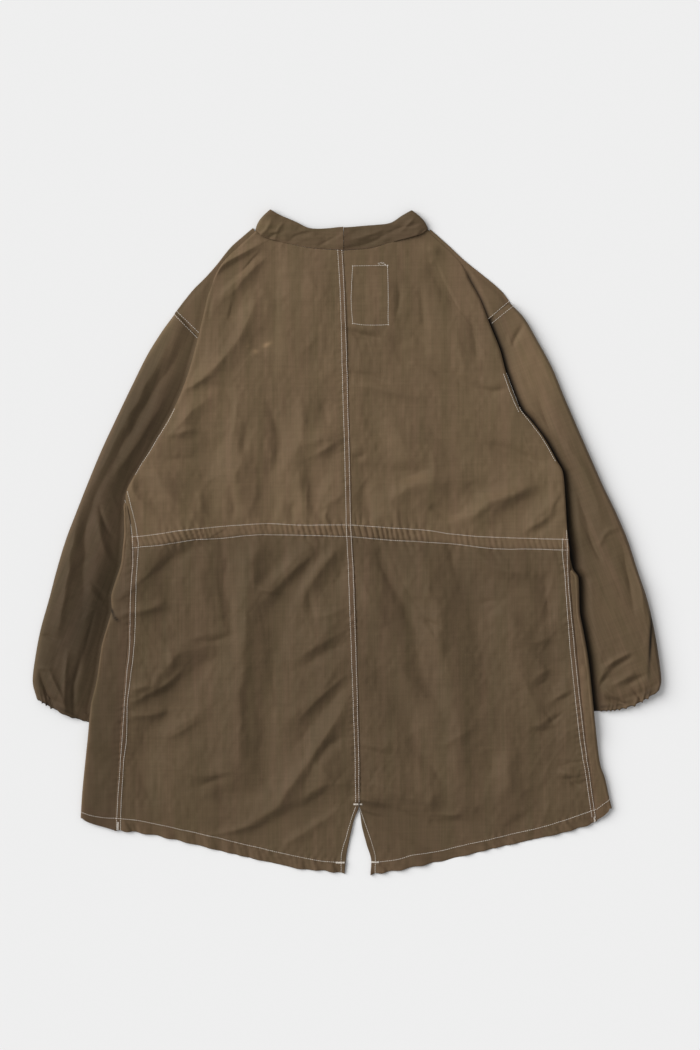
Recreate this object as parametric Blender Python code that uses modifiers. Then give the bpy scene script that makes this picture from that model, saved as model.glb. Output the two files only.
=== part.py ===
"""Fishtail parka, laid flat with its back side up.

A loose-fit parka shell of thin cloth: two full-length back halves joined at the centre back, two
fronts that wrap round the side folds to the side seams, two sleeves with gathered wrists that run
down under the sides of the body, and a stand collar in two halves. The back hem drops to a
fishtail with a vent at its middle. The collar points to +Y, the wearer's back faces +Z, and the
origin is on the surface below the middle of the garment.

Every piece is a wall of cloth worked out from its edge tables, so all tables are in millimetres.
"""
import bpy
import math
import numpy as np

MM = 0.001                # metres in one millimetre

# Driving dimensions, in millimetres
CLOTH = 1.0               # thickness of every cloth wall
SEAM_GAP = 0.3            # space between two pieces at a seam
FLOOR_LAYER = CLOTH / 2   # middle of a wall that lies on the surface
SLEEVE_LAYER = 2.3        # middle of the upper sleeve wall where the body covers it
TOP_LAYER = 3.9           # middle of the back's wall over one flat layer
LIFT = 3.5                # how much the body rises where it lies over a sleeve
LIFT_RAMP = 24.0          # width of the slope up to that height
LIFT_MARGIN = 21.0        # full height is reached this far before the sleeve's fold
ARMPIT_RAMP = 31.0        # length of the same slope at the armpit
CUFF_RAMP = 30.0          # length of the same slope past the cuff
SWELL = 0.7               # height of the soft swells all over the back
SLEEVE_PUFF = 4.6         # how high the open part of a sleeve stands
PUFF_RAMP = 22.0          # width over which a sleeve rises from its edges
PUFF_START = 7.0          # a sleeve stays low this far past the edge that covers it
HEM_LAYER = 1.3           # middle of the back's wall where the fishtail passes the front hem
HEM_RAMP = 24.0           # length of the slope down to it
PUCKER = 0.7              # height of the waist casing's puckers
HEM_RIPPLE = 0.9          # height of the hem's ripples
GATHER = 1.1              # height of the wrist gathers
WRIST_BULGE_LEFT = 4.0    # how far the wrist edges curve out past their straight lines
WRIST_BULGE_RIGHT = 10.0
COVER_DEPTH = 42.0        # how far in from its armhole fold the back lies over other cloth
ARMPIT_EASE = 2.5         # extra space to the back just below the armpit
STRIP_LEAST = 4.6         # narrowest strip of a front that turns up past its side fold
COLLAR_BULGE = 4.0        # how far the collar's side fold curves out
CORNER_LAP = 6.0          # how far a shoulder corner runs on past the sleeve's row

# How finely the pieces are divided
BACK_COLUMNS = 18
FRONT_COLUMNS = 10
UPPER_ROWS = 12
LOWER_ROWS = 12
HEM_ROW = 0.35            # last row's height as a share of the others
PUCKERS_PER_COLUMN = 2    # waist puckers on each column of a back half
FOLD_STEPS = 5            # facets round a fold

# Edge tables: x towards the wearer's right hand, y towards the collar, both from the middle
NECK_LEFT = [
    (-5, 414), (-50, 417), (-77, 422), (-98, 427), (-119, 433), (-129, 442),
]
NECK_RIGHT = [
    (-5, 414), (34, 417), (62, 425), (89, 432), (105, 437), (114, 444),
]
COLLAR_TOP_LEFT = [
    (-5, 445), (-51, 444), (-74, 454), (-97, 464), (-109, 471),
]
COLLAR_TOP_RIGHT = [
    (-5, 447), (40, 449), (62, 452), (78, 462), (92, 470),
]
CB_UPPER = [
    (-5, 413), (-1, 337), (1, 258), (6, 88), (7, 24),
]
CB_LOWER = [
    (8, 7), (11, -54), (16, -196), (19, -310), (19, -345),
]
VENT_LEFT = [
    (17, -375), (9, -399), (2, -430), (-1, -447), (-3, -470),
]
VENT_RIGHT = [
    (18, -375), (20, -399), (28, -430), (34, -450), (33, -471),
]
FOLD_EDGE_LEFT = [
    (-129, 442), (-143, 429), (-157, 416), (-171, 402), (-183, 386), (-195, 360), (-204, 322),
    (-213, 285), (-229, 229), (-247, 187), (-280, 129), (-305, 88), (-314, 65), (-307, 28),
    (-305, 7),
]
FOLD_EDGE_RIGHT = [
    (114, 444), (128, 431), (147, 414), (162, 398), (169, 384), (173, 373), (189, 344), (203, 308),
    (217, 273), (226, 239), (239, 203), (247, 187), (260, 173), (281, 145), (297, 116), (306, 99),
    (310, 53), (312, 16), (313, 7),
]
CASING_TOP_LEFT = [
    (7, 24), (-74, 24), (-116, 26), (-160, 23), (-199, 20), (-241, 16), (-277, 10), (-306, 7),
]
CASING_TOP_RIGHT = [
    (7, 24), (61, 20), (108, 17), (155, 11), (202, 7), (261, 5), (313, 4),
]
CASING_LOW_LEFT = [
    (8, 7), (-82, 10), (-131, 10), (-180, 5), (-219, 3), (-253, -3), (-277, -6), (-305, -9),
]
CASING_LOW_RIGHT = [
    (8, 7), (61, 3), (108, 0), (155, -3), (214, -10), (261, -10), (315, -11),
]
SEAM_LEFT = [
    (-305, -9), (-305, -26), (-309, -87), (-311, -149), (-315, -187), (-320, -251), (-324, -310),
    (-330, -408),
]
SEAM_RIGHT = [
    (315, -11), (316, -55), (320, -104), (325, -152), (331, -213), (339, -280), (345, -325),
    (355, -396),
]
HEM_LEFT = [
    (-3, -470), (-29, -466), (-67, -463), (-118, -452), (-190, -435), (-234, -424), (-286, -413),
    (-330, -408),
]
HEM_RIGHT = [
    (33, -471), (78, -464), (160, -446), (212, -433), (258, -423), (313, -410), (355, -396),
]
SIDE_LEFT = [
    (-318, -9), (-321, -33), (-334, -74), (-334, -97), (-340, -119), (-348, -148), (-355, -196),
    (-363, -231), (-368, -281), (-372, -317), (-376, -359), (-378, -392),
]
SIDE_RIGHT = [
    (315, -11), (320, -38), (328, -50), (330, -99), (335, -125), (342, -165), (347, -209),
    (352, -258), (359, -314), (366, -335), (372, -362), (376, -378),
]
FRONT_TOP_LEFT = [
    (-1, 327), (-50, 337), (-87, 364), (-109, 398), (-124, 425), (-132, 431), (-146, 430),
    (-163, 413), (-182, 389), (-198, 372), (-215, 355), (-229, 338), (-241, 324),
]
FRONT_TOP_RIGHT = [
    (1, 327), (44, 337), (78, 364), (97, 398), (109, 425), (117, 433), (126, 430), (144, 414),
    (163, 397), (184, 380), (205, 363), (219, 349), (228, 339),
]
ARMPIT_LEFT = [
    (-314, 58), (-316, 36), (-316, 13),
]
ARMPIT_RIGHT = [
    (305, 50), (312, 13),
]
FRONT_WAIST_LEFT = [
    (-1, -9), (-159, -9), (-318, -9),
]
FRONT_WAIST_RIGHT = [
    (1, -11), (158, -11), (315, -11),
]
FRONT_HEM_LEFT = [
    (-1, -359), (-159, -368), (-280, -381), (-378, -392),
]
FRONT_HEM_RIGHT = [
    (1, -359), (160, -365), (274, -372), (376, -378),
]
SHOULDER_LEFT = [
    (-133, 445), (-146, 434), (-165, 417), (-185, 392), (-200, 375), (-217, 358), (-231, 341),
    (-244, 325),
]
SHOULDER_RIGHT = [
    (118, 443), (127, 435), (146, 418), (165, 400), (186, 383), (207, 366), (222, 352), (231, 340),
]
CORNER_INNER_LEFT = [
    (-115, 410), (-138, 389), (-155, 365), (-172, 341), (-186, 318), (-196, 300), (-204, 285),
]
CORNER_INNER_RIGHT = [
    (104, 417), (115, 398), (135, 378), (153, 355), (169, 332), (182, 315), (192, 307),
]
COLLAR_FRONT_NECK_LEFT = [
    (-129, 442), (-109, 400), (-85, 366), (-49, 339), (-1, 329),
]
COLLAR_FRONT_TOP_LEFT = [
    (-109, 471), (-81, 420), (-61, 390), (-36, 371), (-1, 362),
]
COLLAR_FRONT_NECK_RIGHT = [
    (114, 444), (96, 400), (77, 366), (43, 339), (1, 329),
]
COLLAR_FRONT_TOP_RIGHT = [
    (92, 470), (68, 420), (51, 390), (30, 371), (1, 362),
]

# Sleeve rows from the shoulder to the wrist: outer_x, outer_y, inner_x, inner_y
SLEEVE_LEFT = [
    (-244, 324, -210, 290),
    (-261, 301, -209, 273),
    (-283, 266, -216, 237),
    (-305, 222, -229, 199),
    (-327, 176, -248, 162),
    (-348, 131, -268, 119),
    (-366, 88, -277, 78),
    (-383, 45, -258, 31),
    (-399, 3, -268, -11),
    (-412, -40, -280, -57),
    (-423, -82, -293, -101),
    (-435, -125, -307, -148),
    (-443, -168, -324, -196),
    (-446, -199, -339, -229),
    (-440, -223, -358, -258),
]
SLEEVE_RIGHT = [
    (231, 339, 199, 314),
    (251, 318, 199, 297),
    (271, 284, 207, 266),
    (291, 247, 217, 230),
    (308, 206, 230, 195),
    (327, 162, 246, 159),
    (345, 121, 268, 119),
    (364, 78, 275, 78),
    (381, 43, 257, 31),
    (398, 3, 267, -11),
    (412, -40, 281, -57),
    (426, -82, 298, -101),
    (436, -125, 314, -146),
    (443, -168, 331, -196),
    (446, -197, 345, -227),
    (443, -210, 348, -240),
]
OPEN_ROWS_LEFT = 7        # rows above the armpit, whose inner side is the armhole
OPEN_ROWS_RIGHT = 8

# Largest folds: start x, y, middle x, y, end x, y, half width, height (a trough is negative)
BODY_FOLDS = [
    (-121, 417, -178, 383, -199, 349, 7, -1.3),
    (-126, 403, -163, 379, -190, 355, 7, 1.2),
    (-121, 344, -152, 273, -223, 213, 10, -1.6),
    (-138, 346, -172, 283, -226, 244, 11, 1.2),
    (-45, -11, -102, -68, -135, -111, 7, -1.8),
    (-135, -111, -149, -210, -138, -338, 9, -1.8),
    (-163, -111, -178, -210, -163, -331, 11, 1.4),
    (0, -231, -60, -331, -169, -420, 9, -2.0),
    (-24, -217, -88, -324, -192, -395, 11, 1.6),
    (0, -128, -36, -151, -67, -168, 7, -1.0),
    (0, -189, -36, -222, -67, -253, 7, -1.0),
    (-216, -1, -258, -20, -294, -54, 7, -1.3),
    (-202, -246, -230, -258, -258, -277, 7, -1.0),
    (253, 81, 196, 55, 139, 31, 9, 1.5),
    (267, 77, 217, 60, 182, 23, 7, -1.3),
    (295, 53, 277, 31, 253, 14, 7, -1.0),
    (33, 3, 75, -111, 142, -274, 13, -1.6),
    (75, -26, 129, -196, 146, -366, 13, 1.8),
    (277, -47, 278, -82, 278, -111, 7, -1.0),
    (18, -379, 75, -400, 132, -430, 7, -1.0),
    (246, -366, 227, -395, 206, -416, 7, -1.0),
]
SLEEVE_FOLDS = [
    (-223, 294, -294, 180, -358, 67, 11, -2.4),
    (-358, 67, -379, -18, -396, -97, 10, -1.8),
    (-365, -68, -351, -80, -334, -89, 7, 1.0),
    (-386, -168, -385, -210, -386, -244, 7, -1.4),
    (-433, -185, -425, -210, -415, -230, 6, -1.2),
    (-351, -160, -352, -185, -355, -213, 7, -1.4),
    (288, 173, 314, 131, 331, 88, 11, -1.2),
    (356, -196, 385, -172, 413, -153, 9, 1.8),
    (366, -224, 381, -210, 399, -190, 7, -1.4),
    (427, -82, 432, -139, 432, -187, 4, -1.6),
]


def smoothstep(value):
    """A soft step from 0 to 1 as the value goes from 0 to 1."""
    value = np.clip(value, 0.0, 1.0)
    return value * value * (3.0 - 2.0 * value)


def sampled(table, fractions):
    """Points at these fractions of the length of a smooth curve through a table's rows."""
    knots = np.array(table, float)
    before = 2.0 * knots[0] - knots[1]
    after = 2.0 * knots[-1] - knots[-2]
    padded = np.vstack([before, knots, after])
    step = np.linspace(0.0, 1.0, 12, endpoint=False)[:, None]
    runs = []
    for a, b, c, d in zip(padded, padded[1:], padded[2:], padded[3:]):
        slope_b = (c - a) * 0.5
        slope_c = (d - b) * 0.5
        # A short span next to a long one keeps a short slope, so the curve can't overshoot
        span = np.linalg.norm(c - b)
        slope_b = slope_b * min(1.0, span / max(np.linalg.norm(slope_b), 1e-9))
        slope_c = slope_c * min(1.0, span / max(np.linalg.norm(slope_c), 1e-9))
        cube = step ** 3
        square = step ** 2
        runs.append(b * (2 * cube - 3 * square + 1) + slope_b * (cube - 2 * square + step)
                    + c * (3 * square - 2 * cube) + slope_c * (cube - square))
    fine = np.vstack(runs + [knots[-1:]])
    lengths = np.linalg.norm(np.diff(fine, axis=0), axis=1)
    along = np.concatenate([[0.0], np.cumsum(lengths)])
    wanted = np.asarray(fractions) * along[-1]
    return np.column_stack([np.interp(wanted, along, fine[:, axis]) for axis in range(2)])


def patch(top, bottom, inner, outer_points, across, down):
    """Rows of plan points blended from three edge tables and the outer end of each row."""
    top_points = sampled(top, across)
    bottom_points = sampled(bottom, across)
    inner_points = sampled(inner, down)
    u = np.asarray(across)[:, None]
    rows = []
    for index, v in enumerate(down):
        between = (1 - v) * top_points + v * bottom_points
        sides = (1 - u) * inner_points[index] + u * outer_points[index]
        corners = ((1 - v) * ((1 - u) * top_points[0] + u * top_points[-1])
                   + v * ((1 - u) * bottom_points[0] + u * bottom_points[-1]))
        rows.append(between + sides - corners)
    return rows


def fold_relief(points, folds):
    """Height that the fold table adds at plan points."""
    relief = np.zeros(len(points))
    s = np.linspace(0.0, 1.0, 25)
    for x0, y0, xm, ym, x1, y1, width, height in folds:
        path = sampled([(x0, y0), (xm, ym), (x1, y1)], s)
        distance = np.linalg.norm(points[:, None, :] - path[None, :, :], axis=2)
        nearest = distance.argmin(axis=1)
        taper = np.sin(np.pi * (0.06 + 0.88 * s[nearest])) ** 0.7
        relief += height * taper * np.exp(-(distance.min(axis=1) / width) ** 2)
    return relief


def beyond(points, table, side):
    """How far plan points lie outside a down-running edge table, on the left (-1) or right (1)."""
    edge = np.array(table, float)
    order = np.argsort(edge[:, 1])
    at_height = np.interp(points[:, 1], edge[order, 1], edge[order, 0])
    return side * (points[:, 0] - at_height)


def sleeve_lift(points, sleeve, open_rows, side):
    """How much the body is raised by the sleeve under it."""
    inner = [(row[2], row[3]) for row in sleeve[open_rows - 2:]]
    past = beyond(points, inner, side)
    slope = smoothstep((past + LIFT_MARGIN + LIFT_RAMP) / LIFT_RAMP)
    armpit = inner[0][1]
    cuff = inner[-1][1]
    above = smoothstep((armpit - points[:, 1]) / ARMPIT_RAMP)
    below = smoothstep((points[:, 1] - cuff + LIFT_MARGIN + CUFF_RAMP) / CUFF_RAMP)
    return LIFT * slope * above * below


def body_lift(points):
    """How much the body is raised by both sleeves."""
    return (sleeve_lift(points, SLEEVE_LEFT, OPEN_ROWS_LEFT, -1)
            + sleeve_lift(points, SLEEVE_RIGHT, OPEN_ROWS_RIGHT, 1))


def floor_height(points):
    """Middle of the lower body layer at plan points."""
    return FLOOR_LAYER + body_lift(points)


def top_height(points):
    """Middle of the upper body layer at plan points."""
    x = points[:, 0]
    y = points[:, 1]
    swell = SWELL * (np.sin(x / 47.0 + 1.0) * np.cos(y / 71.0) + 0.5 * np.sin((x + 2 * y) / 90.0))
    front_hem = np.array(FRONT_HEM_LEFT[::-1] + FRONT_HEM_RIGHT[1:], float)
    past_hem = np.interp(x, front_hem[:, 0], front_hem[:, 1]) - y
    drop = (TOP_LAYER - HEM_LAYER) * smoothstep((past_hem - 5.0) / HEM_RAMP)
    lift = body_lift(points)
    height = TOP_LAYER + lift + fold_relief(points, BODY_FOLDS) - drop
    covering = np.maximum(smoothstep((beyond(points, FOLD_EDGE_LEFT, -1) + COVER_DEPTH) / 9.0),
                          smoothstep((beyond(points, FOLD_EDGE_RIGHT, 1) + COVER_DEPTH) / 9.0))
    least = FLOOR_LAYER + CLOTH + 0.1 + lift
    over_cloth = SLEEVE_LAYER + CLOTH + SEAM_GAP
    least = np.maximum(least, np.where(y > 0.0, over_cloth * covering, 0.0))
    least = np.where(past_hem > HEM_RAMP * 0.6, FLOOR_LAYER + 0.1, least)
    return np.maximum(height + swell * (1 - drop / TOP_LAYER), least)


def with_height(points, heights):
    """Plan points and their heights as points in space."""
    return np.column_stack([points, heights])


def curl(end, direction, start_height, rise, turn, steps):
    """Points round a fold past a wall's end: half a circle for a turn of 1, level for 0."""
    length = math.pi * abs(rise) / 2.0
    points = []
    for step in range(1, steps + 1):
        run = length * step / steps
        if turn:
            radius = abs(rise) / 2.0
            ahead = radius * math.sin(run / radius)
            height = start_height + math.copysign(radius - radius * math.cos(run / radius), rise)
        else:
            ahead = run
            height = start_height
        points.append((end[0] + direction[0] * ahead, end[1] + direction[1] * ahead, height))
    return points


def unit(vector):
    """The vector at length 1."""
    return vector / np.linalg.norm(vector)


def wall(name, rows, colour):
    """A closed cloth wall over rows of middle points; a row may be a multiple of its neighbour."""
    vertices = []
    starts = []
    for row in rows:
        starts.append(len(vertices))
        vertices.extend(tuple(value * MM for value in point) for point in row)
    faces = []
    for index in range(len(rows) - 1):
        above = len(rows[index]) - 1
        below = len(rows[index + 1]) - 1
        cells = min(above, below)
        for cell in range(cells):
            upper = [starts[index] + cell * above // cells + k for k in range(above // cells + 1)]
            lower = [starts[index + 1] + cell * below // cells + k for k in range(below // cells + 1)]
            faces.append(upper + lower[::-1])
    mesh = bpy.data.meshes.new(name)
    mesh.from_pydata(vertices, [], faces)
    mesh.validate()
    mesh.shade_smooth()
    mesh.set_sharp_from_angle(angle=math.radians(50))
    mesh.materials.append(cloth_material(name, colour))
    piece = bpy.data.objects.new(name, mesh)
    PARKA.objects.link(piece)
    solidify = piece.modifiers.new("cloth", 'SOLIDIFY')
    solidify.thickness = CLOTH * MM
    solidify.offset = 0.0
    return piece


def cloth_material(name, colour):
    """Olive-brown cloth in a piece's own shade."""
    material = bpy.data.materials.new(name)
    material.use_nodes = True
    shader = material.node_tree.nodes["Principled BSDF"]
    shader.inputs["Base Color"].default_value = (*colour, 1.0)
    shader.inputs["Roughness"].default_value = 0.72
    shader.inputs["Metallic"].default_value = 0.0
    return material


def zigzag(count, height):
    """Uneven up and down steps for gathers."""
    index = np.arange(count)
    return height * (-1.0) ** index * (0.75 + 0.25 * np.sin(index * 1.7))


def back_half(name, side, neck, fold_edge, casing_top, casing_low, seam, vent, hem, colour):
    """One back half: neck to waist casing, the puckered casing, and casing to fishtail hem."""
    gap = np.array([side * SEAM_GAP / 2.0, 0.0])
    across = np.linspace(0.0, 1.0, BACK_COLUMNS + 1)
    fine_columns = BACK_COLUMNS * PUCKERS_PER_COLUMN * 2
    fine = np.linspace(0.0, 1.0, fine_columns + 1)
    upper_down = np.linspace(0.0, 1.0, UPPER_ROWS + 1)
    rows = []
    upper_edge = sampled(fold_edge, upper_down)
    rows.extend(patch(neck, casing_top, CB_UPPER, upper_edge, across, upper_down)[:-1])
    casing = [sampled(casing_top, fine), sampled(casing_low, fine)]
    rows.append(casing[0])
    rows.append((casing[0] + casing[1]) / 2.0)
    rows.append(casing[1])
    lower_down = lower_fractions()
    double = np.linspace(0.0, 1.0, 2 * BACK_COLUMNS + 1)
    lower_edge = sampled(seam, lower_down)
    lower = patch(casing_low, hem, CB_LOWER + vent, lower_edge, across, lower_down)
    hem_rows = patch(casing_low, hem, CB_LOWER + vent, lower_edge, double, lower_down)
    rows.extend(lower[1:-2])
    rows.extend(hem_rows[-2:])
    placed = []
    for index, points in enumerate(rows):
        inset = np.linspace(1.0, -1.0, len(points))[:, None]
        points = points + gap * inset
        heights = top_height(points)
        if index == UPPER_ROWS + 1:
            heights = heights + zigzag(len(points), PUCKER)
        if index == len(rows) - 1:
            phase = np.linspace(0.0, 1.0, len(points))
            ripple = np.sin(phase * 2 * math.pi * 11 + 1.5 * np.sin(phase * 9))
            heights = np.maximum(heights + HEM_RIPPLE * ripple, FLOOR_LAYER)
        placed.append(with_height(points, heights))
    return wall(name, placed, colour)


def lower_fractions():
    """Fractions down the side seam of the rows below the waist, closer at the hem."""
    even = np.linspace(0.0, 1.0, LOWER_ROWS + 1)
    return np.concatenate([even[:-1], [1.0 - HEM_ROW / LOWER_ROWS, 1.0]])


def front_rows(plan_rows, ends):
    """Rows of a front: along the surface, round the side fold and back in to the side seam."""
    strip_steps = 2
    rows = []
    for points, end in zip(plan_rows, ends):
        heading = unit(points[-1] - points[-2])
        edge = points[-1]
        low = floor_height(points[-1:])[0]
        rise = top_height(points[-1:])[0] - low
        turned = end is not None
        fold_length = rise / 2.0 if turned else math.pi * rise / 2.0 + SEAM_GAP
        flat = points.copy()
        flat[-1] = edge - heading * fold_length
        folded = curl(flat[-1], heading, low, rise, 1 if turned else 0, FOLD_STEPS)
        start = np.array(folded[-1][:2])
        finish = end if turned else edge
        strip = start + (finish - start) * np.linspace(0.0, 1.0, strip_steps + 1)[1:, None]
        row = list(map(tuple, with_height(flat, floor_height(flat))))
        row[-1] = (flat[-1][0], flat[-1][1], low)
        row += folded
        strip_heights = top_height(strip) if turned else np.full(len(strip), low)
        row += list(map(tuple, with_height(strip, strip_heights)))
        rows.append(np.array(row))
    return rows


def front_half(name, side, top, sleeve_table, open_rows, armpit, waist, side_edge, hem, seam,
               colour):
    """One front: a flat layer on the surface whose outer strip wraps up to the side seam."""
    across = np.linspace(0.0, 1.0, FRONT_COLUMNS + 1)
    armhole = np.array([row[2:] for row in sleeve_table[:open_rows]], float)
    armhole[:, 0] -= side * 2 * SEAM_GAP
    outer = np.vstack([top[-1:], armhole, armpit, waist[-1:]])
    lengths = np.concatenate([[0.0], np.cumsum(np.linalg.norm(np.diff(outer, axis=0), axis=1))])
    centre_upper = [top[0], waist[0]]
    centre_lower = [waist[0], hem[0]]
    upper = patch(top, waist, centre_upper, outer, across, lengths / lengths[-1])
    down = lower_fractions()
    lower = patch(waist, hem, centre_lower, sampled(side_edge, down), across, down)
    seam_points = np.vstack([outer[:-1], sampled(seam, down)])
    for index in range(len(outer) - 1):
        seam_points[index, 0] = seam_at(seam, outer[index, 1], side) + side * ARMPIT_EASE
    seam_points[:, 0] += side * SEAM_GAP / 2.0
    plan_rows = upper[:-1] + lower
    ends = []
    for points, seam_point in zip(plan_rows, seam_points):
        strip = side * (points[-1][0] - seam_point[0])
        wide = strip > STRIP_LEAST and points[-1][1] < armpit[0][1]
        ends.append(seam_point if wide else None)
    return wall(name, front_rows(plan_rows, ends), colour)


def seam_at(seam, height, side):
    """Where the side seam or the armhole fold above it runs at a height."""
    fold_edge = FOLD_EDGE_LEFT if side < 0 else FOLD_EDGE_RIGHT
    path = np.array(fold_edge + seam, float)
    order = np.argsort(path[:, 1])
    return np.interp(height, path[order, 1], path[order, 0])


def sleeve(name, side, table, open_rows, fold_edge, wrist_bulge, colour):
    """One sleeve: lower wall, outer fold, upper wall and inner fold, gathered at the wrist."""
    lower_cells = 5
    upper_cells = 9
    rows = []
    for index, (outer_x, outer_y, inner_x, inner_y) in enumerate(table):
        outer = np.array([outer_x, outer_y], float)
        inner = np.array([inner_x, inner_y], float)
        width = np.linalg.norm(inner - outer)
        inward = (inner - outer) / width
        closed = index >= open_rows
        rise = SLEEVE_LAYER - FLOOR_LAYER
        bend = rise / 2.0
        lower_end = width - (bend + SEAM_GAP + 0.3 if closed else 0.0)
        upper_end = width - (bend if closed else math.pi * bend)
        refine = 3 if index >= len(table) - 2 else 1
        lower = np.linspace(lower_end, bend, lower_cells * refine + 1)
        upper = np.linspace(bend, upper_end, upper_cells * refine + 1)
        lower_points = outer + inward * lower[:, None]
        upper_points = outer + inward * upper[:, None]
        if index == len(table) - 1:
            down_arm = unit(outer - np.array(table[index - 1][:2], float) + inner
                            - np.array(table[index - 1][2:], float))
            lower_points += wrist_bulge * np.sin(math.pi * lower / width)[:, None] * down_arm
            upper_points += wrist_bulge * np.sin(math.pi * upper / width)[:, None] * down_arm
        lower_heights = np.full(len(lower), FLOOR_LAYER)
        upper_heights = sleeve_height(upper_points, upper, fold_edge, side)
        if refine > 1:
            room = sleeve_room(upper_points, upper, fold_edge, side)
            upper_heights = upper_heights + zigzag(len(upper), GATHER) * room
            inside = np.sin(np.linspace(0.0, math.pi, len(lower)))
            lower_heights = lower_heights + np.abs(zigzag(len(lower), GATHER)) * (
                np.arange(len(lower)) % 2) * np.minimum(1.0, inside) * 0.5
        outward = -inward
        arc = FOLD_STEPS * refine
        row = list(map(tuple, with_height(lower_points, lower_heights)))
        row += curl(lower_points[-1], outward, FLOOR_LAYER, rise, 1, arc)[:-1]
        row += list(map(tuple, with_height(upper_points, upper_heights)))
        row += curl(upper_points[-1], inward, SLEEVE_LAYER, -rise, 1 if closed else 0, arc)
        rows.append(np.array(row))
    return wall(name, rows, colour)


def sleeve_room(points, from_outer, fold_edge, side):
    """0 under the body and at the outer fold, 1 where a sleeve is free to stand up."""
    outside = smoothstep((beyond(points, fold_edge, side) - PUFF_START) / PUFF_RAMP)
    return outside * smoothstep(from_outer / PUFF_RAMP)


def sleeve_height(points, from_outer, fold_edge, side):
    """Middle of the upper sleeve wall at plan points."""
    room = sleeve_room(points, from_outer, fold_edge, side)
    relief = SLEEVE_PUFF + fold_relief(points, SLEEVE_FOLDS)
    return SLEEVE_LAYER + room * np.maximum(relief, 0.3)


def shoulder_corner(name, shoulder, inner, sleeve_row, colour):
    """The back's corner past its fold: round the shoulder's edge and in under the back."""
    down = np.linspace(0.0, 1.0, 10)
    outer_points = sampled(shoulder, down)
    inner_points = sampled(inner, down)
    sleeve_outer = np.array(sleeve_row[:2], float)
    along = unit(np.array(sleeve_row[2:], float) - sleeve_outer)
    up_shoulder = unit(outer_points[-2] - outer_points[-1])
    across_row = unit(up_shoulder - along * np.dot(up_shoulder, along)) * 2 * SEAM_GAP
    outer_points[-1] = sleeve_outer + across_row
    inner_points[-1] = np.array(sleeve_row[2:], float) + across_row + along * CORNER_LAP
    rise = SLEEVE_LAYER - FLOOR_LAYER
    rows = []
    for outer, deep in zip(outer_points, inner_points):
        inward = unit(deep - outer)
        start = outer + inward * rise / 2.0
        flat = start + (deep - start) * np.linspace(0.0, 1.0, 5)[:, None]
        row = curl(start, -inward, SLEEVE_LAYER, -rise, 1, FOLD_STEPS)[::-1]
        row += [(point[0], point[1], SLEEVE_LAYER) for point in flat]
        rows.append(np.array(row))
    return wall(name, rows, colour)


def collar_half(name, side, neck, top, front_neck, front_top, colour):
    """One collar half: centre back to the side fold, round it, and on to the front edge."""
    rows = []
    shift = np.array([side * SEAM_GAP / 2.0, SEAM_GAP])
    across = np.linspace(0.0, 1.0, BACK_COLUMNS + 1)
    back_neck = sampled(neck, across) + shift
    back_top = sampled(top, across) + shift
    height = np.linspace(0.0, 1.0, 5)[:, None]
    inward = np.array([-side, 0.0])
    bulge = side * COLLAR_BULGE * np.sin(math.pi * height[:, 0])
    for neck_point, top_point, share in zip(back_neck, back_top, across):
        points = neck_point + (top_point - neck_point) * height
        points[:, 0] += bulge * share ** 6
        rows.append(with_height(points, np.full(len(points), TOP_LAYER + 0.1)))
    rise = TOP_LAYER + 0.1 - FLOOR_LAYER
    edge = rows[-1][:, :2]
    rows[-1][:, :2] = edge + inward * rise / 2.0
    for step in range(1, FOLD_STEPS):
        angle = math.pi * step / FOLD_STEPS
        points = edge + inward * (rise / 2.0) * (1.0 - math.sin(angle))
        level = FLOOR_LAYER + rise / 2.0 * (1.0 + math.cos(angle))
        rows.append(with_height(points, np.full(len(points), level)))
    lower_neck = sampled(front_neck, np.linspace(0, 1, 13)) + inward * 0.5
    lower_top = sampled(front_top, np.linspace(0, 1, 13)) + inward * 0.5
    for index, (neck_point, top_point) in enumerate(zip(lower_neck, lower_top)):
        if index == 0:
            points = edge + inward * rise / 2.0
        else:
            points = neck_point + (top_point - neck_point) * height
        rows.append(with_height(points, np.full(len(points), FLOOR_LAYER)))
    return wall(name, rows, colour)


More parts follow.
